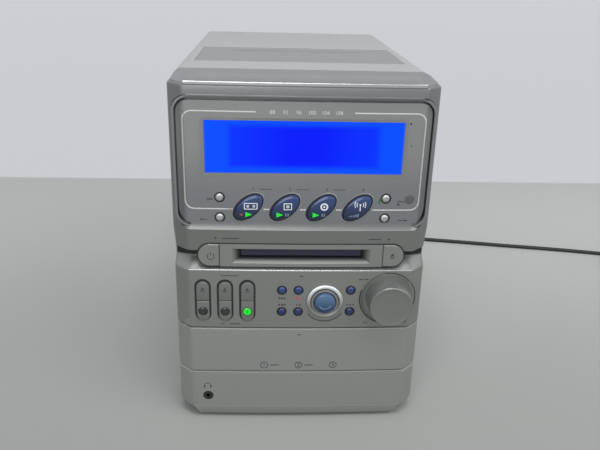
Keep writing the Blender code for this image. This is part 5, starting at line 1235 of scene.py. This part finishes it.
panel_marks += [shape(3, x, 102.0, 2.0, 1.9, turn=90) for x in (-2.5, -0.3)]
panel_marks += strokes(*[(x, 102.0, 1.6, 0.8) for x in (34.8, 37.2, 39.6)])
panel_marks += arc(18.2, 104.4, 16.0, 0.8, 128, 232, steps=16)
printed("panel_marks", panel, dark_ink, "cabinet", *panel_marks)
record = [shape(20, -2.5, 107.6, 2.6), *strokes((1.2, 107.6, 2.6, 0.7))]
printed("record_mark", panel, red_ink, "cabinet", *record)
drawer_marks = [shape(3, -0.2, 76.6, 5.0, 1.5, hole=0.35)]
for number, x in ((1, -26.5), (2, 0.0), (3, 26.5)):
    drawer_marks += [shape(32, x, 49.6, 6.0, hole=0.55), digits(str(number), x, 49.6, 3.6)]
    drawer_marks += strokes((x + 8.0, 49.6, 6.4, 0.7)) if number < 3 else []
printed("drawer_marks", solids["drawer_front"], dark_ink, "drawer", *drawer_marks)
phones = arc(-70.2, 30.2, 2.4, 0.5, -90, 90, steps=10)
phones += strokes((-72.6, 29.4, 1.1, 2.0), (-67.8, 29.4, 1.1, 2.0))
printed("phones_mark", solids["base_panel"], dark_ink, "cabinet", *phones)
print("panel marks printed")

# %% Lamp, remote eye and dots on the fascia
EYE_X = 0.0752
eye = turned("remote_eye", (EYE_X, face_y(EYE_X) + FASCIA_BACK, 0.1848),
             [(3.4, 0), (3.4, 0.16), (3.1, 0.28), (0, 0.3)], sides=40)
settle(eye, "cabinet", "black_plastic", smoke_lens)
printed("timer_lamp", fascia, green_dim, "cabinet", shape(16, 53.9, 183.0, 1.5, 4.2))
printed("fascia_dot", fascia, dark_ink, "cabinet", shape(20, 67.4, 181.0, 1.9))

# %% [markdown]
# ## Edges that catch the light
#
# Four long edges shine in the photo: the front edge of the top, the edge where the control panel starts,
# and the upper edges under the two seams. They face the ceiling lamp. Each is a slim bar that follows the
# bow and has a rounded section, in a bright finish that is partly a real reflection and partly a painted
# highlight. A cap carries the top over to the front, and a thin bar extends its lip downwards. The groove
# round the fascia is shallow, so a flat bar lies in it, and along the bottom a sill closes it. The base
# ends in a lower edge with a shallow bevel, and the display has a flat bezel.

# %% Edges, groove and sill
CAP_MIDDLE, CAP_CORNER, CAP_MEETS_COVER = 0.2637, 0.0790, FRONT_Y + 0.015
SKIRT_MIDDLE, SKIRT_BACK, SKIRT_SHARE = 0.0075, 0.0022, 0.945
SILL_BEND, SILL_LEAN = 0.1634, 0.00118
BEZEL_FRONT, BEZEL_BACK = -0.15107, -0.1505


def bar(name, z, width, height, back, deep, edge, segments=2, radius=0.2, hole=0.0):
    """A slim bar along the bowed front, with its edges rounded."""
    return rounded(bowed(name, 0, z, width, height, radius, back, deep, hole), edge, segments)


cap = bowed("top_lip", 0, 263.7, 162.0, 2.6, 0.2, back=0.02, deep=30.0)
# The back of the cap grows thicker to meet the cover, and its upper corners in front drop a little.
for vertex in cap.data.vertices:
    upper = vertex.co.z > CAP_MIDDLE
    if vertex.co.y > CAP_MEETS_COVER:
        vertex.co.z += 0.0013 if upper else -0.003
    elif abs(vertex.co.x) > CAP_CORNER and upper:
        vertex.co.z -= 0.0012
settle(rounded(cap, 0.4), "cabinet", "silver_plastic", housing_silver)
# The two upper bars are near white, a painted highlight along the edges besides the lamps' real reflection.
upper_edge = bar("edge", 264.0, 161.0, 2.0, 0.0, 2.0, 0.85, segments=4)
waist_edge = bar("edge", 129.75, 163.0, 1.1, -0.05, 1.0, 0.45, segments=3)
settle(joined("bright_edges", upper_edge, waist_edge), "cabinet", "silver_plastic", polish_and_painted_highlight)
# The thin bars under the seams are a painted highlight, in the light chrome tone.
edge = bar("base_edge", 43.25, 166.0, 0.6, -0.05, 0.8, 0.25, radius=0.1)
settle(edge, "cabinet", "silver_plastic", key_chrome)
edge = bar("drawer_edge", 81.55, 166.0, 0.6, -0.05, 0.8, 0.25, radius=0.1)
settle(edge, "drawer", "silver_plastic", key_chrome)
groove = bar("groove_bar", 208.95, 178.5, 93.1, 2.0, 2.0, 0.3, radius=11.0, hole=1.75)
settle(groove, "cabinet", "silver_plastic", housing_silver)
lip = bar("lip_extension", 255.9, 158.0, 1.4, 0.02, 2.0, 0.3)
settle(lip, "cabinet", "silver_plastic", housing_silver)
# The lower points go back and in, so that the bevel under the front is the shallow one of the photo.
skirt = bowed("base_lower_edge", 0, 7.55, 163.0, 8.7, 0.2, back=0.0, deep=7.0)
for vertex in skirt.data.vertices:
    if vertex.co.z < SKIRT_MIDDLE:
        vertex.co.y += SKIRT_BACK
        vertex.co.x *= SKIRT_SHARE
settle(rounded(skirt, 0.35, 2), "cabinet", "silver_plastic", drawer_silver)
# The sill's upper part leans back into the groove, from this height up.
sill = bowed("fascia_sill", 0, 164.3, 157.0, 6.0, 0.2, back=-0.02, deep=1.2)
open_mesh(sill)
bpy.ops.mesh.bisect(plane_co=(0, 0, SILL_BEND), plane_no=(0, 0, 1))
close_mesh(mend=False)
for vertex in sill.data.vertices:
    if vertex.co.z > SILL_BEND - 0.0001:
        vertex.co.y += SILL_LEAN
settle(sill, "cabinet", "silver_plastic", housing_silver)
# The bezel is flat, since the display window in it is flat too.
bezel = bowed("display_bezel", 0, 221.2, 140.4, 41.0, 3.0, back=1.13, deep=0.9, hole=2.2)
for vertex in bezel.data.vertices:
    in_front = vertex.co.y < face_y(vertex.co.x) + 0.00158
    vertex.co.y = BEZEL_FRONT if in_front else BEZEL_BACK
settle(bezel, "cabinet", "silver_plastic", panel_silver)
print("bright edges, groove bar, lower edge, sill and bezel")

# %% [markdown]
# ## The back and the inside
#
# The rear panel is held by pan head screws with a cross recess, and its sockets have coloured rings and
# bright sleeves. Under the tape lid are the head, two capstans and their rubber rollers. The pickup has a
# glass lens. These pieces are out of the photo, so their shapes follow the usual ones.

# %% Screws and sockets


def screw(spot):
    """A pan head with a cross in it, on the rear panel."""
    stations = [(2.7, 0), (2.7, 0.5), (2.3, 1.2), (1.5, 1.55), (0.9, 1.6), (0, 1.6)]
    head = turned("screw", (0, 0, 0), stations, sides=32)
    cross = joined("cross", *strokes((0, 0, 2.4, 0.6), (0, 0, 0.6, 2.4)))
    cross.location = (0, -0.00161, 0)
    apply_all()
    placed(head, spot, "rear")
    placed(cross, spot, "rear")
    return head, cross


BACK_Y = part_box("rear_panel")[1].y
SOCKET_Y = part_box("rear_sockets")[1].y
screw_places = [(x, BACK_Y, z) for x in (-0.084, 0.084) for z in (0.014, 0.100, 0.180, 0.256)]
heads, crosses = zip(*[screw(place) for place in screw_places])
settle(joined("rear_screws", *heads), "cabinet", "steel", plated_steel)
# The crosses are dark flat shapes on the screw heads: painted shade where the cross recess would be.
settle(joined("rear_screw_crosses", *crosses), "cabinet", "black_plastic", painted_gap_shade)
for side, x, colour in (("left", -0.060, white_plastic), ("right", -0.046, red_plastic)):
    places = [(x, SOCKET_Y - 0.0004, z) for z in (0.060, 0.074, 0.088)]
    rings = [hoop("ring", place, 3.4, 1.2, 0.35, sides=40, facing="rear") for place in places]
    settle(joined("socket_rings_" + side, *rings), "cabinet", "white_plastic", colour)
    sleeves = [hoop("sleeve", place, 2.2, 0.7, 0.6, sides=32, facing="rear") for place in places]
    settle(joined("socket_sleeves_" + side, *sleeves), "cabinet", "steel", polished)
plaque = plate("rating_plate", (0.020, BACK_Y, 0.050), 46, 22, 1.5, [(0, 0.15), (0.3, 0.25)], facing="rear")
settle(plaque, "cabinet", "silver_plastic", key_chrome)
jack = middle("headphone_jack")
ring = hoop("jack_contact", (jack.x, low_face("headphone_jack") + 0.0007, jack.z), 2.3, 0.7, 0.35, sides=40)
settle(ring, "cabinet", "steel", polished)
print(len(heads), "screws and", len(places) * 2, "sockets")

# %% Tape heads and the pickup's lens
DECK_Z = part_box("supply_spindle")[0].z + 0.0028
HEAD = [(3.6, 0), (3.6, 3.6), (3.1, 4.2), (0, 4.3)]
ROLLER = [(4.2, 0), (4.2, 3.6), (3.9, 4.0), (1.2, 4.0), (1.0, 4.4), (0, 4.4)]
CAPSTAN = [(1.0, 0), (1.0, 4.2), (0.7, 4.6), (0, 4.7)]
LENS = [(2.1, 0), (2.1, 0.2), (1.6, 0.55), (0.8, 0.75), (0, 0.8)]
head = turned("tape_head", (0, -0.0450, DECK_Z), HEAD, sides=24, facing="up")
settle(head, "cabinet", "steel", polished)
for name, x in (("left", -0.0230), ("right", 0.0230)):
    roller = turned("pinch_roller_" + name, (x, -0.0455, DECK_Z), ROLLER, sides=36, facing="up")
    settle(roller, "cabinet", "rubber", foot_rubber)
    capstan = turned("capstan_" + name, (x, -0.0400, DECK_Z), CAPSTAN, sides=20, facing="up")
    settle(capstan, "cabinet", "steel", polished)
lens_y, pickup_top = middle("pickup").y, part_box("pickup")[1].z
lens = turned("pickup_lens", (0, lens_y, pickup_top - 0.0003), LENS, sides=32, facing="up")
settle(lens, "pickup_sled", "blue_gloss", key_navy)
print("back and inside pieces in place")
